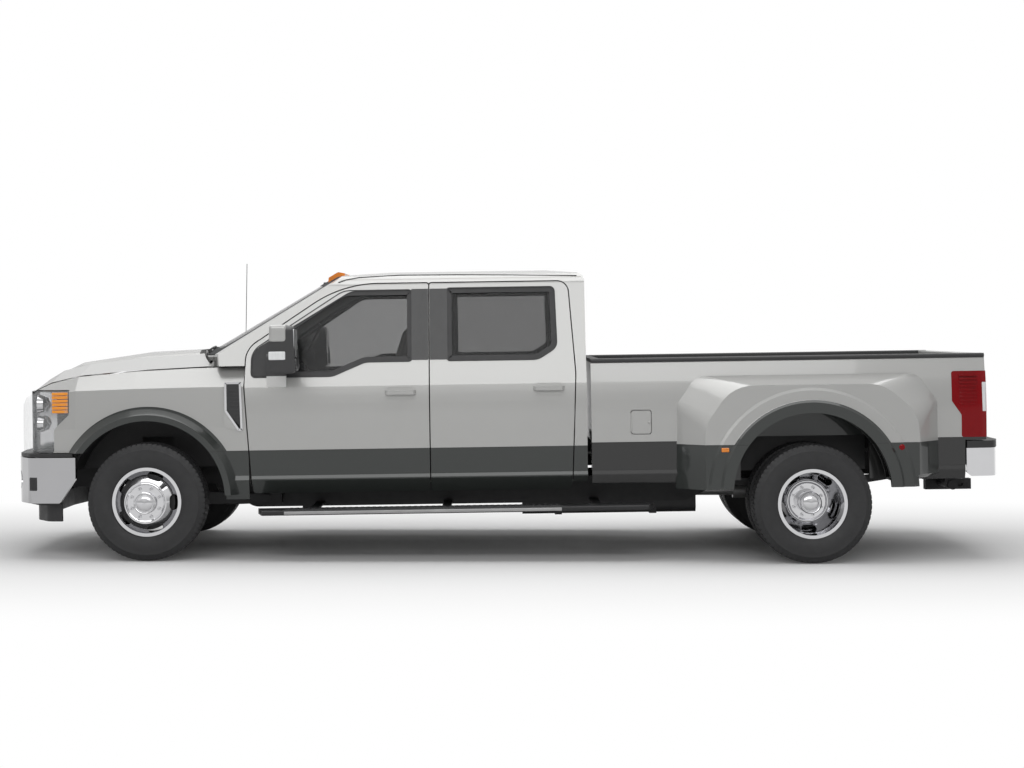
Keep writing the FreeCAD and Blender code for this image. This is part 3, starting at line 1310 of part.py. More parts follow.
def running_board():
    """Right running board with its raised chrome strip and brackets to the frame."""
    low, inner = float(S.board_height), float(S.board_inner)
    outline = [(inner, low, 6), (1085, low, 18), (1098, low + 37, 10), (inner, low + 37)]
    board = slab("yz", -1655, 1042, outline)
    ends = slab("xy", low - 5, low + 60, [(-1655, 900), (-1600, 1110), (990, 1110), (1042, 900)])
    tread = [(960, low + 36), (1070, low + 36), (1064, low + 41, 2), (966, low + 41, 2)]
    return fused([board.common(ends), slab("yz", -1458, 410, tread)])


def mirror():
    """Right door mirror: two arms and a tall rounded head with a recessed glass face."""
    arms = [rod((-1500, 1000, z), (-1440, 1110, z + 20), 15) for z in (1315, 1390)]
    base = [(970, 1200, 20), (1012, 1185, 20), (1030, 1300, 20)]
    base += [(1020, 1420, 20), (985, 1420, 10), (985, 1262)]
    foot = slab("yz", -1570, -1440, base)
    outline = [(-1512, 1290, 45), (-1500, 1608, 55), (-1362, 1616, 45), (-1340, 1290, 40)]
    head = slab("xz", 1062, 1320, outline)
    front_view = [(1062, 1278, 50), (1320, 1278, 50), (1328, 1612, 60), (1072, 1612, 60)]
    head = head.common(slab("yz", -1600, -1300, front_view))
    face = [(1085, 1300, 40), (1298, 1300, 40), (1302, 1590, 45), (1092, 1590, 45)]
    glass = slab("yz", -1356, -1300, face)
    return fused([head.cut(glass), foot] + arms).cut(skin_prism(-1700, -1300))


def roof_lamps():
    """Five amber clearance lamps over the windscreen."""
    outer, inner = 560, 170
    outer_drop = 9.408
    lamps = []
    for y in (-outer, -inner, 0, inner, outer):
        x = roof_front() - 30 + 0.00009 * y * y
        top = float(ROOF_HEIGHT) - (outer_drop if abs(y) == outer else 0)
        outline = [(x - 62, top - 108), (x + 62, top - 108), (x + 58, top - 7, 8)]
        outline += [(x + 10, top + 2, 20), (x - 56, top - 36, 10)]
        lamps.append(slab("xz", y - 48, y + 48, outline))
    shell = slab("xz", -1100, 1100, cab_outline()).common(skin_prism(-2120, 640)).common(screen_prism())
    return Part.makeCompound(lamps).cut(shell)


def antenna():
    base = rod((-1962, 900, 1290), (-1962, 900, 1350), 17)
    mast = rod((-1962, 900, 1340), (-1940, 900, 2100), 2.5)
    return base.fuse(mast).cut(nose_volume())


# Under the floor

def engine():
    """Plain block for engine and gearbox, between the rails."""
    side_view = [(-2880, 620), (-2830, 1140, 40), (-2060, 1180, 40), (-2050, 640)]
    side_view += [(-2140, 590), (-2440, 585), (-2560, 585)]
    block_part = slab("xz", -300, 300, side_view)
    bell = rounded("yz", -2090, [(-190, 560, 40), (190, 560, 40), (190, 800, 60), (-190, 800, 60)])
    middle = rounded("yz", -1980, framed(150, 330, 500, 40))
    tail = rounded("yz", -1210, framed(95, 345, 480, 30))
    box = Part.makeLoft([bell, middle, tail], True, True)
    radiator = block(-3075, -2995, -330, 330, 640, 1130)
    fan = rod((-2997, 0, 900), (-2840, 0, 900), 60)
    mounts = both_sides(block(-2440, -2360, 290, 355.7, 600, 680))
    ties = both_sides(block(-3075, -3000, 320, 355.7, 500, 660))
    return fused([block_part, box, radiator, fan, mounts, ties])


def driveshaft():
    """Shaft from the gearbox to the final drive, with a coupling at each end."""
    start = (-1208, 0, 412)
    end_x, end_z = to_body(float(REAR_AXLE_X) - 290.3, S.tyre_radius)
    shaft = rod(start, (end_x, 0, end_z), 38)
    front_joint = rod(start, (start[0] + 120, 0, start[2] - 1), 52)
    rear_joint = rod((end_x - 110, 0, end_z + 1), (end_x, 0, end_z), 56)
    return fused([shaft, front_joint, rear_joint])


def fuel_tank():
    """Tank inside the left rail, hung from its two straps."""
    tank = slab("yz", 150, 1380, [(-352, 250, 50), (-75, 250, 50), (-75, 448, 40), (-352, 448, 40)])
    straps = [block(x, x + 50, -355.7, -70, 246, 452) for x in (380, 1050)]
    return fused([tank] + straps)


def exhaust():
    """Pipe, silencer and the turned-out tail ahead of the right rear wheels."""
    low = 400.0
    pipe, bend = 34, 36
    points = [(-1880, 230, 590), (-1760, 230, low), (300, 250, low)]
    pieces = [rod(a, b, pipe) for a, b in zip(points, points[1:])]
    pieces += [Part.makeSphere(bend, Vector(*p)) for p in points[1:2]]
    silencer = [(140, low - 75, 55), (345, low - 75, 55), (345, low + 50, 55), (140, low + 50, 55)]
    pieces.append(slab("yz", 290, 960, silencer))
    tail = [(950, 250, low - 15), (1180, 250, 292), (1280, 430, 292), (1330, 990, 292)]
    pieces += [rod(a, b, pipe) for a, b in zip(tail, tail[1:])]
    pieces += [Part.makeSphere(bend, Vector(*p)) for p in tail[1:3]]
    pieces.append(block(710, 740, 230, 270, low + 40, 461.7))
    return fused(pieces)


def leaf_spring():
    """Right rear leaf pack with its hangers, clamps and shock absorber."""
    x, z = REAR_X, REAR_Z
    y0, y1 = 516, 592
    eye = z + 128
    curve = [(-700, eye), (0, z + 62), (700, eye)]
    bottom = [Vector(x + a, y0, b) for a, b in curve]
    top = [Vector(x + a, y0, b + (34 if abs(a) > 10 else 62)) for a, b in curve]
    edges = [Part.Arc(*bottom).toShape(), Part.LineSegment(bottom[2], top[2]).toShape()]
    edges += [Part.Arc(*reversed(top)).toShape(), Part.LineSegment(top[0], bottom[0]).toShape()]
    leaves = Part.Face(Part.Wire(edges)).extrude(Vector(0, y1 - y0, 0))
    pieces = [leaves]
    for a in (-690, 690):
        pieces.append(block(x + a - 42, x + a + 42, float(S.frame_half), y1 + 8, eye - 30, eye + 96))
    clamp = block(x - 88, x + 88, y0 - 12, y1 + 12, z + 40, z + 66)
    straps = [block(x + a, x + a + 16, y, y + 12, z - 62, z + 130) for a in (-70, 54) for y in (y0 - 12, y1)]
    plate = block(x - 80, x + 80, y0 - 12, y1 + 12, z - 74, z - 54)
    shock = rod((x + 110, 478, z - 62), (x + 180, 466, z + 300), 27)
    foot = block(x + 60, x + 140, 440, y0, z - 76, z - 50)
    return fused(pieces + [clamp, plate, shock, foot] + straps)


def in_body(shape, x):
    """A level chassis piece seen from the tilted body, to cut seats for it."""
    moved = shape.copy()
    place = Placement(Vector(float(x), 0, float(S.tyre_radius)), Rotation())
    moved.Placement = RAKE.inverse().multiply(place)
    return moved


def coil_spring():
    """Right front coil with its seat, upper tower, shock absorber and radius arm."""
    x, z = FRONT_X, FRONT_Z
    y = 610
    coil = rod((x, y, z + 40), (x, y, z + 240), 62)
    seat = rod((x, y, z + 30), (x, y, z + 52), 78)
    tower = block(x - 80, x + 80, float(S.frame_half), y + 72, z + 230, z + 262)
    root = rounded("yz", x + 30, [(y - 60, z - 60), (y + 20, z - 60), (y + 20, z + 50), (y - 60, z + 50)])
    tip = rounded("yz", x + 830, [(446, z - 60), (490, z - 60), (490, z - 10), (446, z - 10)])
    arm = Part.makeLoft([root, tip], True, True)
    shock = rod((x - 95, y - 90, z), (x - 100, y - 100, z + 250), 26)
    foot = block(x - 130, x - 30, y - 120, y - 40, z - 40, z + 46)
    bracket = block(x + 770, x + 850, float(S.frame_half), 500, z - 62, z + 30)
    return fused([coil, seat, tower, arm, shock, foot, bracket])


def lathe(points, x, z):
    """A ring turned about a vertical axis."""
    corners = [Vector(x + a, 0, z + b) for a, b in points]
    wire = Part.makePolygon(corners + [corners[0]])
    return Part.Face(wire).revolve(Vector(x, 0, z), Vector(0, 0, 1), 360)


# Inside the cab

def above(level, outline):
    """A side view drawn from zero, lifted to a level."""
    return [(point[0], point[1] + level) + tuple(point[2:]) for point in outline]


def seats():
    """Front seats with console and the rear bench."""
    floor = float(S.floor_height)
    cushion = above(floor, [(-1190, 150, 40), (-1190, 330, 60), (-700, 300, 60), (-660, 150, 40)])
    back = [(-760, 250, 30), (-860, 330, 60), (-640, 1010, 60), (-510, 1010, 60), (-600, 230, 40)]
    back = above(floor, back)
    rest = above(floor, [(-650, 1030, 30), (-600, 1170, 50), (-500, 1170, 40), (-520, 1030, 30)])
    rear_cushion = above(floor, [(-150, 180, 40), (-150, 370, 60), (330, 330, 40), (330, 180, 30)])
    rear_back = [(290, 250, 30), (270, 420, 60), (390, 1000, 50), (500, 1000, 40), (430, 200, 20)]
    rear_back = above(floor, rear_back)
    rear_rest = above(floor, [(385, 980, 20), (400, 1120, 30), (490, 1120, 30), (500, 980, 20)])
    pieces = []
    for y in (-440, 440):
        for half, outline in ((265, cushion), (260, back), (130, rest), (120, rear_rest)):
            pieces.append(slab("xz", y - half, y + half, outline))
        pieces.append(block(-590, -560, y - 60, y + 60, floor + 980, floor + 1060))
        pieces.append(block(-1120, -720, y - 200, y + 200, floor, floor + 170))
    console = slab("xz", -155, 155, above(floor, [(-1300, 0), (-1280, 300, 40), (-700, 370, 60), (-650, 0)]))
    pieces += [slab("xz", -700, 700, outline) for outline in (rear_cushion, rear_back)]
    return fused([console, block(-60, 300, -640, 640, floor, floor + 200)] + pieces)


STEERING_HUB = Vector(-1345, -400, 1235)
STEERING_AXIS = Vector(0.87, 0, 0.49).normalize()


def dashboard():
    """Instrument panel with hooded cluster, glove box line, wheel column and pedals."""
    floor = float(S.floor_height)
    outline = [(-1963, 1290), (-1963, 1330), (-1860, 1410, 30), (-1700, 1432, 40), (-1560, 1370, 50)]
    outline += [(-1560, 1240, 40), (-1610, 1130, 40), (-1640, 1000, 60), (-1700, 940, 30), (-1963, 940)]
    body = slab("xz", -796, 796, outline)
    hood_part = slab("xz", -560, -240, [(-1700, 1400), (-1640, 1455, 30), (-1550, 1440, 20), (-1548, 1380)])
    dials = [(-530, 1270, 30), (-270, 1270, 30), (-270, 1415, 40), (-530, 1415, 40)]
    cluster = slab("yz", -1580, -1500, dials)
    console = [(-1635, floor), (-1740, 1000), (-1600, 1150, 30), (-1560, 1000, 30), (-1600, floor)]
    stack = slab("xz", -170, 170, console)
    hub, axis = STEERING_HUB, STEERING_AXIS
    column = rod(hub - axis * 420, hub - axis * 28, 34)
    bore = rod(hub - axis * 60, hub - axis * 20, 14 + float(S.running_fit))
    return fused([body.cut(cluster), hood_part, stack, column]).cut(bore)


def steering_wheel():
    """Rim, three spokes and hub on the column's stub."""
    turns = [math.radians(45 * i + 22.5) for i in range(8)]
    rim = lathe([(190 + 16 * math.cos(t), 16 * math.sin(t)) for t in turns], 0, 0)
    pad = rod((0, 0, -24), (0, 0, 16), 62)
    stub = rod((0, 0, -56), (0, 0, 0), 14)
    spokes = []
    for angle in (0, 130, 230):
        spoke = block(40, 184, -14, 14, -8, 4)
        spoke.rotate(Vector(0, 0, 0), Vector(0, 0, 1), angle)
        spokes.append(spoke)
    wheel = fused([rim, pad, stub] + spokes)
    wheel.Placement = Placement(STEERING_HUB, Rotation(Vector(0, 0, 1), STEERING_AXIS))
    return wheel


keep("engine", "engine", engine())
keep("driveshaft", "driveshaft", driveshaft())
keep("fuel_tank", "fuel_tank", fuel_tank())
keep("exhaust", "exhaust", exhaust())
springs = Part.makeCompound([both_sides(leaf_spring()), both_sides(coil_spring())])
springs = springs.cut([in_body(front_beam(), S.front_axle_x), in_body(rear_beam(), REAR_AXLE_X)])
keep("suspension", "suspension", springs)
keep("running_boards", "running_boards", both_sides(running_board()))
keep("roof_lamps", "roof_lamps", roof_lamps())
keep("antenna", "antenna", antenna())
keep("seats", "seats", seats())
keep("dashboard", "dashboard", dashboard())
keep("steering_wheel", "steering_wheel", steering_wheel())
for side, word in SIDES:
    keep(f"mirror_{word}", f"mirror_{word}", on_side(side, mirror()))


def finish():
    """Checks every object and writes each sub-part to its own file."""
    doc.recompute()
    os.makedirs("parts", exist_ok=True)
    for item in doc.Objects:
        if "Invalid" in item.State or "Error" in item.State:
            raise RuntimeError(f"{item.Label} did not build")
    for label, feature in NODES.items():
        shape = feature.Shape
        if shape.isNull() or not shape.isValid():
            raise RuntimeError(f"{label} has no valid shape")
        if shape.Volume <= 0:
            raise RuntimeError(f"{label} has no volume")
        shape.exportStep(f"parts/{label}.step")
        print(label, len(shape.Solids), round(shape.Volume / 1e6, 2))


finish()
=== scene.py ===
import math

import bmesh
import bpy
from mathutils import Matrix, Vector


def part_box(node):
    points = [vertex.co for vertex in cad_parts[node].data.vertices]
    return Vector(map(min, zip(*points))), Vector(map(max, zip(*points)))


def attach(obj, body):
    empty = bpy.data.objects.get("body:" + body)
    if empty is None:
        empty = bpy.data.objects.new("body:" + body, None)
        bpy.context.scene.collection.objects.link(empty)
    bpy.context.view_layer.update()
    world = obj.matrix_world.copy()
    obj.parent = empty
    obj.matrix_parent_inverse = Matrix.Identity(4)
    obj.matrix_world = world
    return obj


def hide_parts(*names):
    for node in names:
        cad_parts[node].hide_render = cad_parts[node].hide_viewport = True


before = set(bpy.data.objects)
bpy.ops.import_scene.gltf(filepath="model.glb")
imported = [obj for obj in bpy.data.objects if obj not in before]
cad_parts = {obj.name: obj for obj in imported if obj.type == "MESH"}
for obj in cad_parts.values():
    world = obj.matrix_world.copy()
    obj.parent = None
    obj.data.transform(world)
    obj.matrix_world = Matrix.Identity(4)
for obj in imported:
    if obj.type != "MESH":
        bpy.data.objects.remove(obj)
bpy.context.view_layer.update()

FULL_TURN = 2 * math.pi
RAKE = math.radians(0.865)
SIDES = ((-1, "left"), (1, "right"))


def place(x, y, z):
    """Ground metres of a point given in body millimetres."""
    c, s = math.cos(RAKE), math.sin(RAKE)
    return Vector((x * c - z * s, y, x * s + z * c)) / 1000


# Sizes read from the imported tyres, in metres

FRONT_LOW, FRONT_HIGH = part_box("tyre_front_right")
REAR_LOW, REAR_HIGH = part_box("tyres_rear_right")
TYRE_RADIUS = (FRONT_HIGH.z - FRONT_LOW.z) / 2
TYRE_HALF = (FRONT_HIGH.y - FRONT_LOW.y) / 2
FRONT_AXLE = Vector(((FRONT_LOW.x + FRONT_HIGH.x) / 2, 0, TYRE_RADIUS))
REAR_AXLE = Vector(((REAR_LOW.x + REAR_HIGH.x) / 2, 0, TYRE_RADIUS))
FRONT_Y = (FRONT_LOW.y + FRONT_HIGH.y) / 2
OUTER_Y = REAR_HIGH.y - TYRE_HALF
INNER_Y = REAR_LOW.y + TYRE_HALF * 0.92


# Node graphs

class Graph:
    """Shorthand for the nodes of one material, or of the world."""

    def __init__(self, name, world=False):
        self.owner = (bpy.data.worlds if world else bpy.data.materials).new(name)
        self.owner.use_nodes = True
        self.nodes = self.owner.node_tree.nodes
        self.shader = self.nodes["Background" if world else "Principled BSDF"]
        self.coords = self.node("TexCoord").outputs["Generated" if world else "Object"]

    def put(self, socket, value):
        """Sets a socket to a value, or links it to another socket."""
        if isinstance(value, bpy.types.NodeSocket):
            self.owner.node_tree.links.new(value, socket)
        else:
            socket.default_value = value

    def node(self, kind, *ordered, **named):
        """A new node with inputs set in order or by name."""
        node = self.nodes.new("ShaderNode" + kind)
        for number, value in enumerate(ordered):
            self.put(node.inputs[number], value)
        for name, value in named.items():
            self.put(node.inputs[name.replace("_", " ")], value)
        return node

    def math(self, operation, *values):
        """The result of a Math node."""
        node = self.node("Math", *values)
        node.operation = operation
        return node.outputs[0]

    def times(self, first, *others):
        """The product of all values."""
        for value in others:
            first = self.math("MULTIPLY", first, value)
        return first

    def plus(self, first, *others):
        """The sum of all values."""
        for value in others:
            first = self.math("ADD", first, value)
        return first

    def minus(self, a, b):
        """The difference of two values."""
        return self.math("SUBTRACT", a, b)

    def vector(self, operation, *values):
        """The result of a Vector Math node, a number for dot products and lengths."""
        node = self.node("VectorMath", *values)
        node.operation = operation
        return node.outputs["Value" if operation in ("DOT_PRODUCT", "LENGTH") else "Vector"]

    def mix(self, factor, a, b):
        """Colour a where the factor is 0, b where it is 1."""
        node = self.node("Mix")
        node.data_type = "RGBA"
        for socket, value in (("Factor", factor), ("A", a), ("B", b)):
            self.put(node.inputs[socket], value)
        return node.outputs["Result"]

    def ramp(self, value, start=0.0, end=1.0, low=0.0, high=1.0, smooth=False):
        """A value carried from start to end over to low to high."""
        node = self.node("MapRange", Value=value, From_Min=start, From_Max=end, To_Min=low, To_Max=high)
        if smooth:
            node.interpolation_type = "SMOOTHSTEP"
        return node.outputs["Result"]

    def step(self, value, start, end):
        """0 below start, 1 above end (or the other way round), smooth in between."""
        if start > end:
            return self.ramp(value, end, start, 1.0, 0.0, smooth=True)
        return self.ramp(value, start, end, smooth=True)

    def noise(self, scale, detail=3.0, stretch=None):
        """Soft noise from 0 to 1, its scale per metre."""
        spot = self.vector("MULTIPLY", self.coords, stretch) if stretch else self.coords
        return self.node("TexNoise", Vector=spot, Scale=scale, Detail=detail).outputs[0]

    def bump(self, height, strength):
        """Relief of less than half a millimetre."""
        node = self.node("Bump", Strength=strength, Distance=0.0004, Height=height)
        self.set(Normal=node.outputs["Normal"])

    def set(self, **values):
        """Sets the shader's inputs by name."""
        for name, value in values.items():
            self.put(self.shader.inputs[name.replace("_", " ")], value)

    def level(self):
        """Height above the tilted body's zero plane."""
        return self.vector("DOT_PRODUCT", self.coords, (-math.sin(RAKE), 0, math.cos(RAKE)))

    def along(self):
        """Distance towards the tail in the tilted body."""
        return self.vector("DOT_PRODUCT", self.coords, (math.cos(RAKE), 0, math.sin(RAKE)))

    def across(self):
        """Distance from the centre plane."""
        return self.math("ABSOLUTE", self.vector("DOT_PRODUCT", self.coords, (0, 1, 0)))

    def radius(self, spot, plane=(1, 0, 1)):
        """Distance from a point, measured in one plane."""
        moved = self.vector("SUBTRACT", self.coords, tuple(spot))
        return self.vector("LENGTH", self.vector("MULTIPLY", moved, plane))


def shade(colour, factor):
    """The colour made darker or lighter, as RGBA."""
    return tuple(min(1, c * factor) for c in colour[:3]) + (1,)


# Masks of the body's surfaces, from lengths in metres

BELT_HEIGHT = 1.36
SIDE_LEAN = -0.235
SCREEN_FOOT_X = -2.085
SCREEN_FOOT_Z = 1.43
SCREEN_SLOPE = 0.578
SCREEN_BULGE = 0.208
ROOF_TOP = 1.965
ROOF_CROWN = -0.068
TUB_MIDDLE = 2.085
TUB_HALF = 0.4625
TUB_TOP = 0.9935
TUB_INNER = 0.6625
EDGE = 0.001
SPLIT_HEIGHT = 0.769
SPLIT_EDGE = 0.0006
ARCHES = ((place(-2386, 0, 452), 0.625), (place(2085, 0, 449), 0.613))


def side_limit(graph, belt_half_width):
    """Half width, at a point's height, of a surface that leans in above the belt line."""
    return graph.plus(graph.times(graph.minus(graph.level(), BELT_HEIGHT), SIDE_LEAN), belt_half_width)


def screen_depth(graph):
    """How far behind the curved windscreen's surface a point lies, along the truck."""
    y = graph.across()
    ahead = graph.times(graph.minus(graph.level(), SCREEN_FOOT_Z), 1 / SCREEN_SLOPE)
    return graph.minus(graph.along(), graph.plus(ahead, graph.times(y, y, SCREEN_BULGE), SCREEN_FOOT_X))


def inside_mask(graph):
    """1 on the surfaces that face the inside of the cab."""
    x, y, z = graph.along(), graph.across(), graph.level()
    side = graph.minus(graph.math("MINIMUM", side_limit(graph, 0.936), 0.932), y)
    under_roof = graph.minus(graph.plus(graph.times(y, y, ROOF_CROWN), ROOF_TOP), z)
    return graph.times(graph.step(side, 0.0, 0.002), graph.step(under_roof, 0.0, 0.002),
                       graph.step(screen_depth(graph), 0.03, 0.034),
                       graph.step(x, 0.575, 0.57), graph.step(z, 0.53, 0.535))


def frit_mask(graph):
    """1 on the black border round the windscreen, up to the painted outer edge of the pillars."""
    inside = graph.minus(side_limit(graph, 0.885), graph.across())
    return graph.times(graph.step(screen_depth(graph), 0.014, 0.012), graph.step(inside, 0.0, 0.001),
                       graph.step(graph.level(), 1.395, 1.397))


def well_mask(graph):
    """1 on the road side of the bed's wheel tubs."""
    away = graph.math("ABSOLUTE", graph.minus(graph.along(), TUB_MIDDLE))
    lean = graph.times(graph.minus(graph.level(), 0.796), 0.187)
    return graph.times(graph.step(graph.plus(away, lean), TUB_HALF, TUB_HALF - EDGE),
                       graph.step(graph.across(), TUB_INNER, TUB_INNER + EDGE),
                       graph.step(graph.level(), TUB_TOP, TUB_TOP - EDGE))


# Materials

SILVER = (0.44, 0.44, 0.43, 1)
SLATE = (0.026, 0.03, 0.028, 1)
JOINT_BLACK = (0.01, 0.011, 0.011, 1)
FRIT_BLACK = (0.012, 0.013, 0.014, 1)
UNDERSEAL = (0.012, 0.012, 0.012, 1)


def paint(name, inner=None, two_tone=True, well=False):
    """Clear-coated silver over slate, split along the side and round the wheel arches."""
    graph = Graph(name)
    level = graph.level()
    flake = graph.noise(2600, 1.0)
    colour = silver = graph.mix(flake, shade(SILVER, 0.94), SILVER)
    slate = graph.mix(flake, shade(SLATE, 0.85), SLATE)
    if two_tone:
        dark = graph.step(level, SPLIT_HEIGHT + SPLIT_EDGE, SPLIT_HEIGHT - SPLIT_EDGE)
        outside = graph.step(graph.across(), 0.93, 0.932)
        for spot, flare in ARCHES:
            ring = graph.step(graph.radius(spot), flare + SPLIT_EDGE, flare - SPLIT_EDGE)
            dark = graph.math("MAXIMUM", dark, graph.times(ring, outside))
        colour = graph.mix(dark, silver, slate)
        line = graph.times(graph.step(level, SPLIT_HEIGHT - 0.004, SPLIT_HEIGHT - 0.003),
                           graph.step(level, SPLIT_HEIGHT + 0.003, SPLIT_HEIGHT + 0.002), 0.75)
        colour = graph.mix(line, colour, JOINT_BLACK)
    if well:
        colour = graph.mix(well_mask(graph), colour, slate)
        colour = graph.mix(graph.step(level, 0.791, 0.789), colour, UNDERSEAL)
    rough, shine, metal = 0.32, 0.7, 0.25
    if inner is not None:
        frit, mask = frit_mask(graph), inside_mask(graph)
        colour = graph.mix(frit, colour, FRIT_BLACK)
        colour = graph.mix(mask, colour, inner)
        matt = graph.math("MAXIMUM", mask, frit)
        gloss = graph.minus(1.0, matt)
        rough = graph.math("MAXIMUM", graph.times(matt, 0.8), rough)
        shine, metal = graph.times(gloss, shine), graph.times(gloss, metal)
    graph.set(Base_Color=colour, Roughness=rough, Metallic=metal, Specular_IOR_Level=0.35)
    graph.set(Coat_Weight=shine, Coat_Roughness=0.03)
    graph.bump(graph.noise(310, 2.0), 0.012)
    return graph.owner


def plain(name, colour, roughness, metallic=0.0, grain=(900, 0.1), mottle=0.12):
    """A surface with fine grain, and small changes of tone and gloss."""
    graph = Graph(name)
    graph.set(Base_Color=graph.mix(graph.noise(7), shade(colour, 1 - mottle), shade(colour, 1 + mottle)))
    gloss = graph.ramp(graph.noise(23), low=max(0.02, roughness * 0.85), high=min(1, roughness * 1.2))
    graph.set(Metallic=metallic, Roughness=gloss)
    graph.bump(graph.noise(grain[0]), grain[1])
    return graph


def chrome(name, tone, roughness=0.09):
    """Plated metal of one reflectivity."""
    return plain(name, (tone, tone, tone * 1.02), roughness, 1.0, (240, 0.01), 0.03).owner


def mirror_shell():
    """Black mirror housing on a foot in the body's colour."""
    graph = plain("mirror_shell", (0.02, 0.02, 0.021), 0.4, grain=(1100, 0.15))
    housing = graph.shader.inputs["Base Color"].links[0].from_socket
    foot = graph.step(graph.level(), 1.272, 1.27)
    graph.set(Base_Color=graph.mix(foot, housing, (0.72, 0.72, 0.71, 1)), Coat_Weight=0.3)
    return graph.owner


def glass(name, tint, alpha):
    """Tinted glass, each face of a pane letting part of the light through."""
    graph = Graph(name)
    graph.set(Base_Color=graph.mix(graph.noise(2.2), tint, shade(tint, 1.25)))
    graph.set(Roughness=0.12, Alpha=alpha, IOR=1.5, Specular_IOR_Level=0.2)
    return graph.owner


def cloth(name, colour):
    """Woven seat cloth."""
    graph = Graph(name)
    weave = graph.node("TexWave", Vector=graph.coords, Scale=260, Distortion=1.5)
    weave.bands_direction = "DIAGONAL"
    threads = weave.outputs["Fac"]
    graph.set(Base_Color=graph.mix(threads, shade(colour, 0.88), colour), Roughness=0.88, Sheen_Weight=0.25)
    graph.bump(threads, 0.12)
    return graph.owner


def lens(name, colour, alpha, roughness=0.05, shine=0.5):
    """Moulded lamp plastic with soft upright ribs."""
    graph = Graph(name)
    graph.set(Base_Color=graph.mix(graph.noise(60, 1.0, (1, 1, 0.2)), colour, shade(colour, 1.2)))
    graph.set(Roughness=roughness, Alpha=alpha, Coat_Weight=shine, Coat_Roughness=0.02)
    graph.set(Specular_IOR_Level=shine)
    return graph.owner


SILVER_PAINT = paint("silver_over_slate")
CAB_PAINT = paint("cab_paint", (0.16, 0.16, 0.155, 1))
ROOF_PAINT = paint("roof_paint", (0.42, 0.41, 0.39, 1), two_tone=False)
DOOR_PAINT = paint("door_paint", (0.05, 0.05, 0.052, 1))
PLAIN_PAINT = paint("silver_paint", two_tone=False)
BED_PAINT = paint("bed_paint", well=True)
CHROME = chrome("chrome", 0.58)
# Front bumper: the same plating as the rear bumper's chrome, its lower tone painted shade for the darker
# reflections it shows
SHADED_BUMPER_CHROME = chrome("bumper_chrome_painted_shade", 0.4, 0.1)
# Grille: the same plating, its lower tone painted shade that holds down the lamps' reflection at a grazing
# view
SHADED_GRILLE_CHROME = chrome("grille_chrome_painted_shade", 0.34, 0.16)
MIRROR_SHELL = mirror_shell()
RUBBER = plain("tyre_rubber", (0.018, 0.018, 0.019), 0.62, 0.0, (700, 0.25), 0.25).owner
BLACK_PLASTIC = plain("black_plastic", (0.018, 0.018, 0.019), 0.5, 0.0, (1100, 0.3)).owner
GLOSS_BLACK = plain("gloss_black", (0.008, 0.0085, 0.009), 0.3, 0.0, (500, 0.05)).owner
CHASSIS = plain("chassis_coating", (0.016, 0.016, 0.017), 0.6, 0.1, (300, 0.3), 0.3).owner
CAST = plain("cast_metal", (0.09, 0.09, 0.09), 0.6, 0.7, (200, 0.5), 0.25).owner
STEEL = plain("brushed_steel", (0.33, 0.33, 0.33), 0.38, 0.9, (500, 0.15), 0.2).owner
SIDE_GLASS = glass("side_glass", (0.03, 0.031, 0.031, 1), 0.37)
REAR_GLASS = glass("rear_glass", (0.025, 0.026, 0.026, 1), 0.43)
SCREEN_GLASS = glass("screen_glass", (0.03, 0.031, 0.032, 1), 0.42)
CLEAR_LENS = lens("clear_lens", (0.8, 0.82, 0.83, 1), 0.16)
RED_LENS = lens("red_lens", (0.24, 0.001, 0.004, 1), 0.93, 0.08, 0.12)
AMBER_LENS = lens("amber_lens", (0.85, 0.24, 0.01, 1), 0.9)
AMBER_GLOW = lens("amber_reflector", (0.9, 0.3, 0.01, 1), 1.0, 0.25)
WHITE_LENS = lens("white_lens", (0.75, 0.76, 0.77, 1), 1.0, 0.2)
SEAT_CLOTH = cloth("seat_cloth", (0.17, 0.165, 0.155, 1))
DASH = plain("dash_plastic", (0.03, 0.03, 0.031), 0.65, 0.0, (1400, 0.35)).owner
MIRROR_GLASS = plain("mirror_glass", (0.85, 0.86, 0.87), 0.03, 1.0, (50, 0.0), 0.01).owner

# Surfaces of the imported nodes, by the start of their names; all others are chassis.
SURFACES = {
    "cab": CAB_PAINT, "cab_roof": ROOF_PAINT, "cab_back": CAB_PAINT, "cab_glass": SCREEN_GLASS,
    "door_front": DOOR_PAINT, "door_rear": DOOR_PAINT, "glass_front": SIDE_GLASS, "glass_rear": REAR_GLASS,
    "hood": PLAIN_PAINT, "fender_front": SILVER_PAINT, "fender_rear": SILVER_PAINT, "bed": BED_PAINT,
    "tailgate": PLAIN_PAINT, "fuel_flap": PLAIN_PAINT, "mirror": MIRROR_SHELL, "antenna": BLACK_PLASTIC,
    # The front bumper takes the darker chrome copy, its lower tone painted shade
    "bumper_front": SHADED_BUMPER_CHROME, "bumper_rear": CHROME, "bumper_step": BLACK_PLASTIC,
    # The grille takes the darker chrome copy, its lower tone painted shade
    "grille": SHADED_GRILLE_CHROME, "rim_front": CHROME, "rims_rear": CHROME, "valance_front": BLACK_PLASTIC,
    "bed_rail_caps": BLACK_PLASTIC, "wheel_liners": BLACK_PLASTIC, "running_boards": BLACK_PLASTIC,
    "fuel_tank": BLACK_PLASTIC, "headlamps": CLEAR_LENS, "tail_lamps": RED_LENS, "roof_lamps": AMBER_LENS,
    "seats": SEAT_CLOTH, "dashboard": DASH, "steering_wheel": DASH, "engine": CAST, "knuckle": CAST,
    "exhaust": STEEL, "driveshaft": STEEL, "tyre": RUBBER, "tyres": RUBBER,
}


def dress_nodes():
    """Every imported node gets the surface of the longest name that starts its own."""
    for name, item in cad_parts.items():
        fits = [key for key in SURFACES if name == key or name.startswith(key + "_")]
        surface = SURFACES[max(fits, key=len)] if fits else CHASSIS
        item.data.materials.clear()
        item.data.materials.append(surface)


# Mesh helpers

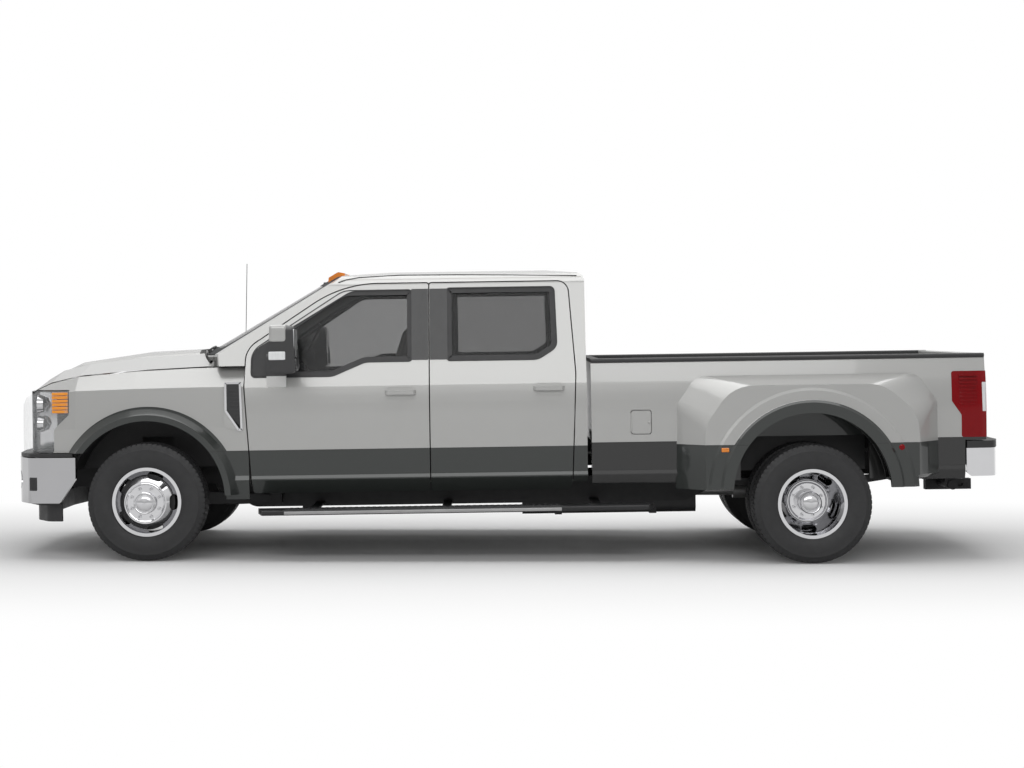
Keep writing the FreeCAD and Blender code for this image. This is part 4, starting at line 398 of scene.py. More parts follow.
def drawn(name, build):
    """A new object of the scene, with the mesh that build draws into a bmesh."""
    work = bmesh.new()
    build(work)
    bmesh.ops.recalc_face_normals(work, faces=work.faces)
    mesh = bpy.data.meshes.new(name)
    work.to_mesh(mesh)
    work.free()
    item = bpy.data.objects.new(name, mesh)
    bpy.context.scene.collection.objects.link(item)
    return item


def piece(name, body, surface, slot=None, stands_for=(), angle=35):
    """Decorator of a function that draws one part of the truck, which moves with a body.

    The slot argument is not used.
    """
    def draw(build):
        item = drawn(name, build)
        item.data.materials.append(surface)
        item.data.polygons.foreach_set("use_smooth", [True] * len(item.data.polygons))
        item.data.set_sharp_from_angle(angle=math.radians(angle))
        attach(item, body)
        if stands_for:
            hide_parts(*stands_for)
        return build
    return draw


def pair(name, body, surface, slot=None, stands_for=()):
    """Decorator of build(work, side) for a part on both sides; names ending in _ get the side's word."""
    def draw(build):
        for side, word in SIDES:
            own_body = body + word if body.endswith("_") else body
            nodes = [node + word for node in stands_for]
            piece(name + word, own_body, surface, slot, nodes)(lambda work: build(work, side))
        return build
    return draw


def bridge(work, rows, around=True):
    """Faces between each row of vertices and the next."""
    for a, b in zip(rows, rows[1:]):
        for i in range(len(a) if around else len(a) - 1):
            k = (i + 1) % len(a)
            work.faces.new([a[i], a[k], b[k], b[i]])


def close_hull(work, rows):
    """Faces between rows of vertices, and one at each end."""
    bridge(work, rows)
    work.faces.new(rows[0])
    work.faces.new(rows[-1][::-1])


def add_lathe(work, profile, spot, axis="y", segments=96, closed=True):
    """Turns (radius, along) points about an axis through the spot."""
    rings = []
    for i in range(segments):
        turn = FULL_TURN * i / segments
        a, b = math.cos(turn), math.sin(turn)
        ring = []
        for radius, along in profile:
            offset = {"y": (radius * a, along, radius * b), "z": (radius * a, radius * b, along),
                      "x": (along, radius * a, radius * b)}[axis]
            ring.append(work.verts.new(Vector(spot) + Vector(offset)))
        rings.append(ring)
    bridge(work, rings + rings[:1], closed)


BEVEL_ROUNDNESS = 0.6


def add_block(work, corners):
    """A six-sided block from its four lower and four upper corners."""
    spots = [work.verts.new(c) for c in corners]
    for quad in ((0, 3, 2, 1), (4, 5, 6, 7), (0, 1, 5, 4), (1, 2, 6, 5), (2, 3, 7, 6), (3, 0, 4, 7)):
        work.faces.new([spots[i] for i in quad])


def add_box(work, x0, x1, y0, y1, z0, z1, bevel=3.0, segments=2):
    """A block with rounded edges between body coordinates in millimetres."""
    y0, y1 = sorted((y0, y1))
    made = bmesh.ops.create_cube(work, size=1)["verts"]
    for vert in made:
        x = (x0 + x1) / 2 + vert.co.x * (x1 - x0)
        y = (y0 + y1) / 2 + vert.co.y * (y1 - y0)
        z = (z0 + z1) / 2 + vert.co.z * (z1 - z0)
        vert.co = place(x, y, z)
    if bevel:
        edges = list({edge for vert in made for edge in vert.link_edges})
        bmesh.ops.bevel(work, geom=edges, offset=bevel / 1000, segments=segments, affect="EDGES",
                        profile=BEVEL_ROUNDNESS)


def add_tube(work, points, radius, sides=12):
    """A round bar through points in ground metres."""
    points = [Vector(p) for p in points]
    rings = []
    normal = None
    for i, point in enumerate(points):
        before, after = points[max(0, i - 1)], points[min(len(points) - 1, i + 1)]
        ahead = (after - before).normalized()
        if normal is None:
            normal = ahead.orthogonal().normalized()
        normal = (normal - ahead * normal.dot(ahead)).normalized()
        other = ahead.cross(normal)
        turns = [FULL_TURN * k / sides for k in range(sides)]
        spokes = [(normal * math.cos(t) + other * math.sin(t)) * radius for t in turns]
        rings.append([work.verts.new(point + spoke) for spoke in spokes])
    close_hull(work, rings)


def smooth_outline(corners, steps=6):
    """A dense closed outline from corners (a, b, radius), each rounded by its radius."""
    result = []
    for i, (a, b, radius) in enumerate(corners):
        spot = Vector((a, b))
        before = (Vector(corners[i - 1][:2]) - spot).normalized()
        after = (Vector(corners[(i + 1) % len(corners)][:2]) - spot).normalized()
        half = before.angle(after) / 2
        reach = radius / math.tan(half)
        middle = spot + (before + after).normalized() * (radius / math.sin(half))
        start, end = spot + before * reach - middle, spot + after * reach - middle
        turn = start.angle_signed(end)
        for k in range(steps + 1):
            result.append(middle + Matrix.Rotation(-turn * k / steps, 2) @ start)
    return result


def rectangle(x0, x1, z0, z1, radius, steps):
    """Outline of a rounded rectangle."""
    return smooth_outline([(x0, z0, radius), (x1, z0, radius), (x1, z1, radius), (x0, z1, radius)], steps)


def moved_in(outline, amount):
    """A dense closed outline moved towards its inside."""
    following = outline[1:] + outline[:1]
    area = sum(a.x * b.y - b.x * a.y for a, b in zip(outline, following))
    turn = amount if area > 0 else -amount
    result = []
    for i, spot in enumerate(outline):
        ahead = (following[i] - outline[i - 1]).normalized()
        result.append(spot + Vector((-ahead.y, ahead.x)) * turn)
    return result


# (height, half width) of the cab's side in body millimetres
SIDE_SECTION = ((455, 940), (571, 1010), (600, 1002), (770, 1011), (940, 1016), (1130, 1011), (1196, 1002),
                (1360, 962), (1888, 838))


def side_y(z):
    """Half width of the cab and doors at a height, in body millimetres."""
    for (z0, y0), (z1, y1) in zip(SIDE_SECTION, SIDE_SECTION[1:]):
        if z <= z1:
            return y0 + (y1 - y0) * (z - z0) / (z1 - z0)
    return SIDE_SECTION[-1][1]


def skin_row(work, outline, side, lift, skin):
    """Vertices of a side-view outline, lift millimetres over the skin."""
    return [work.verts.new(place(p.x, side * (skin(p.y) + lift), p.y)) for p in outline]


def add_side_band(work, outer, inner, side, low, high, skin=side_y):
    """A band between two outlines of the side view, from low to high millimetres over the skin."""
    edges = ((outer, high), (inner, high), (inner, low), (outer, low))
    rows = [skin_row(work, outline, side, lift, skin) for outline, lift in edges]
    bridge(work, rows + rows[:1])


def add_side_plate(work, outline, side, low, high, skin=side_y):
    """A plate of the side view's outline, from low to high millimetres over the skin."""
    close_hull(work, [skin_row(work, outline, side, lift, skin) for lift in (high, low)])


def skin_spot(names, x, z, side):
    """Where a line from the truck's side first meets the named nodes, with the surface's normal."""
    beside_truck = 1400
    start = place(x, side * beside_truck, z)
    hits = [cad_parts[name].ray_cast(start, Vector((0, -side, 0))) for name in names]
    found = [(abs(spot.y), spot, normal) for hit, spot, normal, _ in hits if hit]
    return max(found, key=lambda item: item[0])[1:]


# Tyres and wheels

# Sizes in metres; tread rows and shoulder ribs are drawn for a tyre of this half width.
DRAWN_HALF = 0.1225
TREAD_DEPTH = 0.012
SHOULDER_DROP = 0.0045
TREAD_ROWS = ((-0.101, -0.066), (-0.060, -0.024), (-0.018, 0.018), (0.024, 0.060), (0.066, 0.101))
RIB_FOOT = ((0.366, 0.1135), (0.388, 0.1))
RIB_TOP = ((0.368, 0.1165), (0.3945, 0.104))
# Blocks round the tyre, and parts of the pitch from one to the next
PITCHES = 68
BLOCK_SHARE = 0.84
BLOCK_SLANT = 0.18
ROW_STAGGER = 0.37
RIB_SPAN = (0.1, 0.7)
# (radius, or depth under the tread, in millimetres; part of the half width)
BEAD_TO_SHOULDER = ((219, -0.66), (229, -0.72), (236, -0.80), (240, -0.86), (247, -0.88), (262, -0.94),
                    (292, -0.985), (330, -1.0), (345, -0.995), (348, -1.0), (354, -1.0), (357, -0.975),
                    (372, -0.93), (384, -0.865))
GROOVE_FLOOR = ((9.5, -0.83), (9, -0.3), (8.6, 0), (9, 0.3), (9.5, 0.83))
# Wheel nuts, valve and hub cap, in metres
NUTS = 8
NUT_CIRCLE = 0.1
VALVE_CIRCLE = 0.2
VALVE_TURN = 0.9
TRIM_RING = ((0.128, -0.001), (0.133, 0.004), (0.129, 0.008), (0.122, 0.005), (0.12, -0.001))
HUB_CAP = ((0.0705, -0.026), (0.0745, -0.02), (0.0745, -0.006), (0.068, 0.0), (0.063, -0.002),
           (0.06, -0.006), (0.056, -0.006), (0.052, -0.001), (0.03, 0.006), (0.0, 0.009))


def tyre_profile(half):
    """(radius, along) of a tyre from bead to bead, grooves included."""
    crown = [(TYRE_RADIUS * 1000 - depth, along) for depth, along in GROOVE_FLOOR]
    other = [(radius, -along) for radius, along in reversed(BEAD_TO_SHOULDER)]
    return [(radius / 1000, along * half) for radius, along in [*BEAD_TO_SHOULDER, *crown, *other]]


def add_tread(work, spot, half):
    """Rows of blocks with slanted ends round the tyre, and ribs on its shoulders."""
    top, low = TYRE_RADIUS - 0.0005, TYRE_RADIUS - TREAD_DEPTH
    pitch = FULL_TURN / PITCHES

    def corner(radius, along, turn):
        """A point of the tread; along is for a tyre as wide as the drawn one."""
        offset = (radius * math.cos(turn), along * half / DRAWN_HALF, radius * math.sin(turn))
        return Vector(spot) + Vector(offset)

    def quad(a, b, start, end, slant=0.0):
        """Four corners between the (radius, along) points a and b."""
        return [corner(*a, start), corner(*b, start + slant), corner(*b, end + slant), corner(*a, end)]

    for k in range(PITCHES):
        for row, (a, b) in enumerate(TREAD_ROWS):
            start = pitch * (k + ROW_STAGGER * row)
            turn = (start, start + pitch * BLOCK_SHARE, pitch * BLOCK_SLANT * (1 if row % 2 else -1))
            top_a = top - (SHOULDER_DROP if row == 0 else 0)
            top_b = top - (SHOULDER_DROP if row == len(TREAD_ROWS) - 1 else 0)
            add_block(work, quad((low, a), (low, b), *turn) + quad((top_a, a), (top_b, b), *turn))
        for way in (-1, 1):
            turn = [pitch * (k + part) for part in RIB_SPAN]
            corners = []
            for a, b in (RIB_FOOT, RIB_TOP):
                corners += quad((a[0], a[1] * way), (b[0], b[1] * way), *turn)
            add_block(work, corners)


def add_nut(work, spot, side, size=0.0125, height=0.034):
    """A domed hexagonal wheel nut standing out of the disc."""
    for scale, start, end in ((1.25, 0.0, 0.12), (1.0, 0.12, 0.8), (0.62, 0.8, 1.0)):
        radius = size * scale
        made = bmesh.ops.create_cone(
            work, cap_ends=True, segments=6 if scale == 1.0 else 16, radius1=radius,
            radius2=radius * (0.96 if scale >= 1 else 0.55), depth=height * (end - start))["verts"]
        turn = Matrix.Rotation(-math.pi / 2 * side, 4, "X")
        middle = Vector(spot) + Vector((0, side * height * (start + end) / 2, 0))
        bmesh.ops.transform(work, matrix=Matrix.Translation(middle) @ turn, verts=made)


def wheels(end, plural, axle, tyres, brake_y, face_y, cap_y, valve_y):
    """Tyres, nuts, rings, caps, valves and brake discs at both ends of an axle, by their places across."""
    body = f"wheel{plural}_{end}_"

    @pair(f"{end}_tyre{plural}_", body, RUBBER, stands_for=(f"tyre{plural}_{end}_",))
    def tyre(work, side):
        """Tread and sidewalls of the tyres on one side."""
        for y, half in tyres:
            spot = (axle.x, side * y, axle.z)
            add_lathe(work, tyre_profile(half), spot, segments=128)
            add_tread(work, spot, half)

    @pair(f"{end}_wheel_trim_", body, CHROME, "wheel_chrome")
    def trim(work, side):
        """Nuts, a raised ring and a stepped cap on the wheel's disc."""
        for k in range(NUTS):
            turn = FULL_TURN * (k + 0.5) / NUTS
            x, z = axle.x + NUT_CIRCLE * math.cos(turn), axle.z + NUT_CIRCLE * math.sin(turn)
            add_nut(work, (x, side * (face_y - 0.001), z), side)
        add_lathe(work, [(r, side * (face_y + a)) for r, a in TRIM_RING], axle)
        add_lathe(work, [(r, side * (cap_y + a)) for r, a in HUB_CAP], axle, closed=False)

    @pair(f"{end}_valve_", body, BLACK_PLASTIC, "")
    def valve(work, side):
        """Valve stem and its cap."""
        x, z = axle.x + VALVE_CIRCLE * math.cos(VALVE_TURN), axle.z + VALVE_CIRCLE * math.sin(VALVE_TURN)
        base = Vector((x, side * valve_y, z))
        stem = ((0, 0, 0), (0, side * 0.02, 0), (0.002, side * 0.034, 0.003))
        cap = ((0.002, side * 0.032, 0.003), (0.003, side * 0.044, 0.004))
        for path, radius in ((stem, 0.0032), (cap, 0.0044)):
            add_tube(work, [base + Vector(step) for step in path], radius, 10)

    @pair(f"{end}_brake_", body, CHASSIS)
    def brake(work, side):
        """Dark disc that shows through the wheel's hand holes."""
        near, far = side * brake_y, side * (brake_y - 0.014)
        add_lathe(work, [(0.06, near), (0.188, near), (0.188, far), (0.06, far)], axle)


wheels("front", "", FRONT_AXLE, ((FRONT_Y, TYRE_HALF),), brake_y=FRONT_Y + 0.075,
       face_y=FRONT_Y + 0.143, cap_y=FRONT_Y + 0.186, valve_y=FRONT_Y + 0.03)
wheels("rear", "s", REAR_AXLE, ((OUTER_Y, TYRE_HALF), (INNER_Y, TYRE_HALF * 0.9)), brake_y=INNER_Y - 0.02,
       face_y=OUTER_Y - 0.136, cap_y=OUTER_Y + 0.012, valve_y=OUTER_Y - 0.06)


# Trim made of rounded blocks alone: x, y, z spans in body millimetres, bevel and its segments

BOXES = (
    ("mirror_cap_", "door_front_", PLAIN_PAINT, [(-1516, -1400, 1066, 1326, 1500, 1617, 26, 4)]),
    ("mirror_lamp_", "door_front_", WHITE_LENS, [(-1519, -1408, 1240, 1332, 1384, 1440, 9, 3)]),
    ("mirror_glass_", "door_front_", MIRROR_GLASS,
     [(-1357, -1351, 1094, 1300, 1398, 1586, 2, 2), (-1357, -1351, 1094, 1300, 1304, 1388, 2, 2)]),
    ("amber_corner_", "chassis", AMBER_GLOW,
     [(-3036, -2928, 890, 968, z, z + 20, 4, 2) for z in range(1040, 1161, 24)]),
    ("wheelhouse_wall_", "chassis", BLACK_PLASTIC, [(1640, 2530, 650, 655, 560, 800, 2, 2)]),
    ("amber_marker_", "chassis", AMBER_LENS, [(1476, 1528, 1184, 1206, 722, 752, 8, 3)]),
    ("tail_lamp_bars_", "chassis", RED_LENS,
     [(3110, 3230, 985, 1007, z, z + 10, 2, 2) for z in range(1010, 1203, 24)]),
    ("reverse_lamp_", "chassis", WHITE_LENS, [(3266, 3293, 930, 1004, 960, 1160, 6, 3)]),
    ("board_strip_", "chassis", STEEL, [(-1458, 410, 1088, 1100, 340, 362, 4, 2)]),
    ("board_treads_", "chassis", BLACK_PLASTIC,
     [(x, x + 22, 970, 1060, 372, 377, 1.5, 1) for x in range(-1430, 371, 40)]),
    ("high_brake_lamp", "chassis", RED_LENS, [(586, 601, -92, 92, 1892, 1922, 5, 3)]),
    ("cargo_lamps", "chassis", WHITE_LENS,
     [(586, 600, -150, -100, 1892, 1922, 5, 3), (586, 600, 100, 150, 1892, 1922, 5, 3)]),
)


def box_trim():
    """Draws every row of BOXES, once for each side where the name ends in _."""
    for name, body, surface, boxes in BOXES:
        def build(work, side=1):
            """All boxes of one row."""
            for x0, x1, y0, y1, *rest in boxes:
                add_box(work, x0, x1, side * y0, side * y1, *rest)
        decorator = pair if name.endswith("_") else piece
        decorator(name, body, surface)(build)


# Windows, pillars and doors

FRONT_WINDOW = [(-1676, 1266, 25), (-1130, 1266, 140), (-906, 1360, 140), (-589, 1360, 25),
                (-589, 1842, 25), (-1054, 1842, 150), (-1676, 1440, 120)]
REAR_WINDOW = [(-349, 1360, 20), (-349, 1850, 20), (382, 1850, 30), (394, 1440, 70), (267, 1360, 120)]
MIRROR_SAIL = [(-1668, 1272, 12), (-1452, 1272, 8), (-1420, 1300, 10), (-1500, 1560, 30), (-1664, 1445, 60)]


def door_trim(kind, window, pillar, cup, rest):
    """Trim of one pair of doors: spans of the pillar cover and the armrest, and the handle cup's middle."""
    body = f"door_{kind}_"

    @pair(f"window_frame_{kind}_", body, BLACK_PLASTIC)
    def window_frame(work, side):
        """Rubber-edged black frame round the door's glass."""
        outline = smooth_outline(window, 8)
        add_side_band(work, moved_in(outline, 0.8), moved_in(outline, 32), side, -13.6, -4)
        add_side_band(work, moved_in(outline, -7), moved_in(outline, 0.5), side, -2, 2.2)

    @pair(f"pillar_cover_{kind}_", body, GLOSS_BLACK)
    def pillar_cover(work, side):
        """Gloss cover of the door's window pillar."""
        add_side_plate(work, rectangle(*pillar, 1366, 1850, 4, 3), side, -1, 2.5)

    @pair(f"handle_cup_{kind}_", body, PLAIN_PAINT)
    def handle_cup(work, side):
        """Pressed cup behind the door's handle, edged with a thin lip."""
        x, z = cup
        outline = rectangle(x - 96, x + 96, z - 50, z + 42, 22, 6)
        add_side_band(work, outline, moved_in(outline, 7), side, -1, 3)

    @pair(f"door_trim_{kind}_", body, DASH)
    def armrest_and_bin(work, side):
        """Armrest, bin, pull and sill button on the door's inner face."""
        x0, x1 = rest
        add_box(work, x0, x1, side * 868, side * 934, 948, 1006, 20, 3)
        add_box(work, x0 + 40, x1 - 60, side * 892, side * 934, 640, 760, 18, 3)
        pull = ((180, 930, 1110), (190, 884, 1112), (330, 884, 1112), (340, 930, 1110))
        add_tube(work, [place(x0 + x, side * y, z) for x, y, z in pull], 0.011)
        button = [(0.0, 0.045), (0.006, 0.044), (0.008, 0.036), (0.006, -0.02)]
        add_lathe(work, button, place(x1 - 20, side * 938, 1345), "z", 16, False)


door_trim("front", FRONT_WINDOW, pillar=(-592, -477), cup=(-668, 1149), rest=(-1470, -680))
door_trim("rear", REAR_WINDOW, pillar=(-467, -346), cup=(337, 1163), rest=(-300, 300))


@pair("mirror_sail_", "door_front_", BLACK_PLASTIC)
def mirror_sail(work, side):
    """Black triangular cover in the front corner of the front window."""
    add_side_plate(work, smooth_outline(MIRROR_SAIL, 5), side, -13.6, -1)


@pair("roof_moulding_", "chassis", BLACK_PLASTIC)
def roof_moulding(work, side):
    """Black moulding in the joint between the roof panel and the cab's side."""
    path = smooth_outline([(-1090, 1901, 0.1), (-1040, 1919, 40), (-951, 1934, 60), (-675, 1947, 90),
                           (-260, 1944, 90), (545, 1926, 0.1)], 5)
    spots = [skin_spot(("cab", "cab_roof", "cab_back"), p.x, p.y, side) for p in path]
    add_tube(work, [spot + normal * 0.001 for spot, normal in spots], 0.004, 10)


# Front end

@piece("grille_mesh", "chassis", BLACK_PLASTIC)
def grille_mesh(work):
    """Dark strips crossing behind the grille's bars, and slats in the bumper's air intake."""
    for k in range(54):
        y = -640 + 1280 * k / 53
        add_box(work, -3243, -3236, y - 2.4, y + 2.4, 812, 1146, 0)
    for k in range(18):
        z = 818 + 322 * k / 17
        add_box(work, -3246, -3239, -642, 642, z - 2.4, z + 2.4, 0)
    add_box(work, -3236, -3233, -646, 646, 806, 1152, 1)
    add_box(work, -3291, -3286, -322, 322, 442, 556, 1)
    for z in (484, 505, 526, 547):
        add_box(work, -3306, -3290, -298, 298, z - 3, z + 3, 1)


@pair("fog_opening_", "chassis", BLACK_PLASTIC)
def fog_opening(work, side):
    """Black opening that goes round the corner of the front bumper, its rim sunk into the metal."""
    rows = []
    across, up = 8, 6
    for k in range(up + 1):
        row = []
        for i in range(across + 1):
            spot, normal = skin_spot(("bumper_front",), -3206 + 68 * i / across, 505 + 112 * k / up, side)
            lift = 0.003 if 0 < k < up and 0 < i < across else -0.004
            row.append(work.verts.new(spot + normal * lift))
        rows.append(row)
    bridge(work, rows, around=False)


@pair("lamp_reflectors_", "chassis", CHROME)
def lamp_reflectors(work, side):
    """Bowls with projectors behind the clear headlamp lens."""
    for z, size in ((1098, 0.062), (962, 0.056)):
        bowl = [(0.0, 0.03), (size * 0.45, 0.028), (size * 0.8, 0.01), (size, -0.02), (size * 1.06, -0.02),
                (size * 0.9, 0.02), (0.0, 0.045)]
        add_lathe(work, bowl, place(-3150, side * 770, z), "x", 48, closed=False)
    add_box(work, -3180, -3060, side * 690, side * 700, 780, 1180, 3)


VENT = smooth_outline([(-1856, 1236, 8), (-1856, 1040, 12), (-1768, 907, 8), (-1736, 907, 6),
                       (-1744, 1236, 6)], 4)


def fender_y(_):
    """Half width of the front fender round its vent, in body millimetres."""
    return 1024


@pair("vent_frame_", "chassis", CHROME)
def vent_frame(work, side):
    """Bright frame of the fender vent."""
    add_side_band(work, VENT, moved_in(VENT, 14), side, -14, 4, fender_y)


@pair("vent_inset_", "chassis", BLACK_PLASTIC)
def vent_inset(work, side):
    """Ribbed black inset of the fender vent, left without lettering."""
    add_side_plate(work, moved_in(VENT, 13), side, -14, 1.5, fender_y)
    for z in range(965, 1174, 26):
        add_box(work, -1822 if z > 1020 else -1790, -1760, side * 1020, side * 1027, z, z + 9, 2, 2)


def screen_point(y, z, lift):
    """A point over the windscreen, from its place across and its height, in body millimetres."""
    radius = 2454
    x = -2085 + (z - 1430) / SCREEN_SLOPE + radius - math.sqrt(radius * radius - y * y)
    forward, up = math.sin(math.radians(30)), math.cos(math.radians(30))
    return place(x - lift * forward, y, z + lift * up)


@piece("wipers", "chassis", BLACK_PLASTIC)
def wipers(work):
    """Two wiper arms with their blades and pivots."""
    for pivot, tip in ((-560, 120), (120, 740)):
        arm = ((pivot, 1436, 18), (pivot + 90, 1452, 16), ((pivot + tip) / 2 + 60, 1460, 14))
        add_tube(work, [screen_point(*spot) for spot in arm], 0.007, 10)
        blade = [screen_point(pivot + 60 + (tip - pivot) * t, 1452 + 5 * math.sin(t * math.pi), 9)
                 for t in (k / 8 for k in range(9))]
        add_tube(work, blade, 0.0065, 8)
        add_tube(work, [screen_point(pivot, 1434, 0), screen_point(pivot, 1436, 24)], 0.014, 16)


# Bed

@pair("red_marker_", "chassis", RED_LENS)
def red_marker(work, side):
    """Round red lamp behind the rear wheel."""
    dome = [(0.0, side * 1.209), (0.012, side * 1.208), (0.019, side * 1.205), (0.021, side * 1.19)]
    add_lathe(work, dome, (2.668, 0, 0.78), closed=False, segments=32)


@piece("fuel_flap_knob", "fuel_flap", PLAIN_PAINT)
def fuel_flap_knob(work):
    """Finger button of the filler flap."""
    dome = [(0.0, -0.006), (0.006, -0.005), (0.009, -0.002), (0.009, 0.006)]
    add_lathe(work, dome, place(1012, -1012, 922), closed=False, segments=24)


# Inside and underneath

FLOOR = 566
SEAT_Y = 440


def over_floor(*corners, steps=7):
    """Outline from corners (along, height over the cab's floor, radius)."""
    return smooth_outline([(x, FLOOR + z, radius) for x, z, radius in corners], steps)


FRONT_CUSHION = over_floor((-1190, 160, 50), (-1190, 325, 70), (-700, 300, 60), (-660, 160, 40))
FRONT_BACK = over_floor((-770, 270, 40), (-850, 350, 60), (-640, 1005, 60), (-520, 1005, 60), (-610, 240, 50))
FRONT_REST = over_floor((-645, 1050, 30), (-600, 1165, 50), (-505, 1165, 40), (-525, 1035, 30))
REAR_CUSHION = over_floor((-150, 190, 50), (-150, 365, 70), (320, 330, 50), (320, 190, 40))
REAR_BACK = over_floor((300, 270, 40), (275, 420, 70), (390, 995, 60), (490, 995, 50), (430, 230, 40))
REAR_REST = over_floor((385, 1030, 25), (402, 1115, 35), (485, 1115, 35), (495, 1015, 25))
ARMREST = over_floor((-1040, 322, 14), (-1040, 352, 14), (-715, 390, 16), (-705, 352, 10))
CONSOLE = over_floor((-1300, 1, 10), (-1280, 300, 40), (-1080, 318, 20), (-700, 352, 40), (-655, 1, 20),
                     steps=6)


def add_cushion(work, outline, y0, y1, edge=34, bolster=0.0, seams=()):
    """A side-view outline carried across, rounded at both ends, with stitched channels."""
    width = y1 - y0
    stations = [(0, edge), (0.1 * edge, 0.6 * edge), (0.35 * edge, 0.24 * edge), (0.9 * edge, 0)]
    stations += [(width - a, b) for a, b in reversed(stations)]
    if bolster:
        stations += [(width * t, -bolster) for t in (0.16, 0.2, 0.8, 0.84)]
        stations += [(width * t, 0) for t in (0.27, 0.73)]
    for seam in seams:
        stations += [(width * seam + a, b) for a, b in ((-9, 0), (-2, 5), (2, 5), (9, 0))]
    close_hull(work, [[work.verts.new(place(p.x, y0 + along, p.y)) for p in moved_in(outline, inset)]
                      for along, inset in sorted(stations)])


@piece("seat_pads", "chassis", SEAT_CLOTH, stands_for=("seats",), angle=50)
def seat_pads(work):
    """Cloth cushions, backs and headrests of both front seats and the rear bench."""
    for y in (-SEAT_Y, SEAT_Y):
        add_cushion(work, FRONT_CUSHION, y - 262, y + 262, 40, 20, (0.34, 0.66))
        add_cushion(work, FRONT_BACK, y - 258, y + 258, 40, 20, (0.34, 0.66))
        add_cushion(work, FRONT_REST, y - 128, y + 128, 36)
        add_cushion(work, REAR_REST, y - 118, y + 118, 30)
    for y0, y1, seams in ((-700, -243, (0.5,)), (-237, 697, (0.25, 0.5, 0.75))):
        add_cushion(work, REAR_CUSHION, y0, y1, 36, 0, seams)
        add_cushion(work, REAR_BACK, y0, y1, 36, 0, seams)
    add_cushion(work, ARMREST, -142, 142, 12)


@piece("seat_frames", "chassis", DASH)
def seat_frames(work):
    """Seat bases, runners, headrest posts, side covers and the centre console."""
    for y in (-SEAT_Y, SEAT_Y):
        add_box(work, -1120, -700, y - 205, y + 205, FLOOR + 30, FLOOR + 172, 24, 3)
        for rail in (-170, 170):
            add_box(work, -1160, -640, y + rail - 18, y + rail + 18, FLOOR + 1, FLOOR + 30, 5, 2)
        for post in (y - 52, y + 52):
            add_tube(work, [place(-585, post, FLOOR + 960), place(-568, post, FLOOR + 1070)], 0.0065, 10)
            add_tube(work, [place(442, post, FLOOR + 960), place(446, post, FLOOR + 1040)], 0.006, 10)
        for y0, y1 in ((y - 284, y - 262), (y + 262, y + 284)):
            add_box(work, -1100, -720, y0, y1, FLOOR + 110, FLOOR + 240, 9, 2)
    add_box(work, -60, 300, -640, 640, FLOOR + 1, FLOOR + 196, 16, 2)
    add_cushion(work, CONSOLE, -152, 152, 16)
    for y in (-48, 48):
        cup_ring = [(0.036, 0.002), (0.042, 0.004), (0.045, -0.006), (0.036, -0.006)]
        add_lathe(work, cup_ring, place(-1160, y, FLOOR + 314), "z", 32)


@piece("dashboard_details", "chassis", DASH)
def dashboard_details(work):
    """Screen, glove box lid, air vents, stalks, selector and the inside mirror."""
    add_box(work, -1563, -1549, -122, 122, 1252, 1366, 6, 2)
    add_box(work, -1566, -1553, 250, 640, 1150, 1236, 10, 3)
    for y0, y1 in ((-742, -640), (-226, -146), (146, 226), (640, 742)):
        add_box(work, -1562, -1550, y0, y1, 1262, 1352, 8, 2)
        for z in range(1274, 1339, 16):
            add_box(work, -1552, -1542, y0 + 8, y1 - 8, z, z + 4, 1)
    for way in (-1, 1):
        stalk = ((-1420, 40, 1206), (-1405, 120, 1222), (-1400, 185, 1232))
        add_tube(work, [place(x, -400 + way * y, z) for x, y, z in stalk], 0.008, 10)
    add_tube(work, [place(-1180, -8, FLOOR + 316), place(-1192, -8, FLOOR + 400)], 0.009)
    knob = [(0.0, 0.03), (0.016, 0.026), (0.024, 0.01), (0.022, -0.012), (0.0, -0.016)]
    add_lathe(work, knob, place(-1194, -8, FLOOR + 408), "z", 24, False)
    add_box(work, -1240, -1228, -140, 140, 1838, 1896, 10, 3)
    add_tube(work, [place(-1250, 0, 1870), place(-1262, 0, 1925)], 0.008, 10)


@pair("grab_handles_", "chassis", DASH)
def grab_handles(work, side):
    """Grab handles on the middle and front pillars."""
    bow = ((0, 0), (26, 12), (30, 60), (30, 150), (26, 198), (0, 210))
    for x, lean in ((-398, 0.0), (-1505, 0.55)):
        path = [place(x + a + lean * b, side * (872 + SIDE_LEAN * b), 1420 + b) for a, b in bow]
        add_tube(work, path, 0.011)


@piece("steering_wheel_cover", "steering_wheel", DASH, stands_for=("steering_wheel",))
def steering_wheel_cover(work):
    """Padded steering wheel rim with its spokes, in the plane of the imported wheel."""
    turns = [FULL_TURN * k / 16 for k in range(16)]
    add_lathe(work, [(0.19 + 0.0165 * math.cos(t), 0.0165 * math.sin(t)) for t in turns], (0, 0, 0), "z")
    pad = [(0.0, 0.028), (0.05, 0.026), (0.07, 0.014), (0.075, -0.01), (0.06, -0.03), (0.0, -0.034)]
    add_lathe(work, pad, (0, 0, 0), "z", 48, closed=False)
    spoke = ((0.05, -0.03), (0.185, -0.016), (0.185, 0.016), (0.05, 0.03))
    for degrees in (0, 130, 230):
        turn = Matrix.Rotation(math.radians(degrees), 3, "Z")
        add_block(work, [turn @ Vector((a, b, height)) for height in (-0.012, 0.008) for a, b in spoke])
    axis = (place(870, 0, 490) - place(0, 0, 0)).normalized()
    lean = Vector((0, 0, 1)).rotation_difference(axis).to_matrix().to_4x4()
    hub = Matrix.Translation(place(-1345, -400, 1235))
    bmesh.ops.transform(work, matrix=hub @ lean, verts=work.verts)


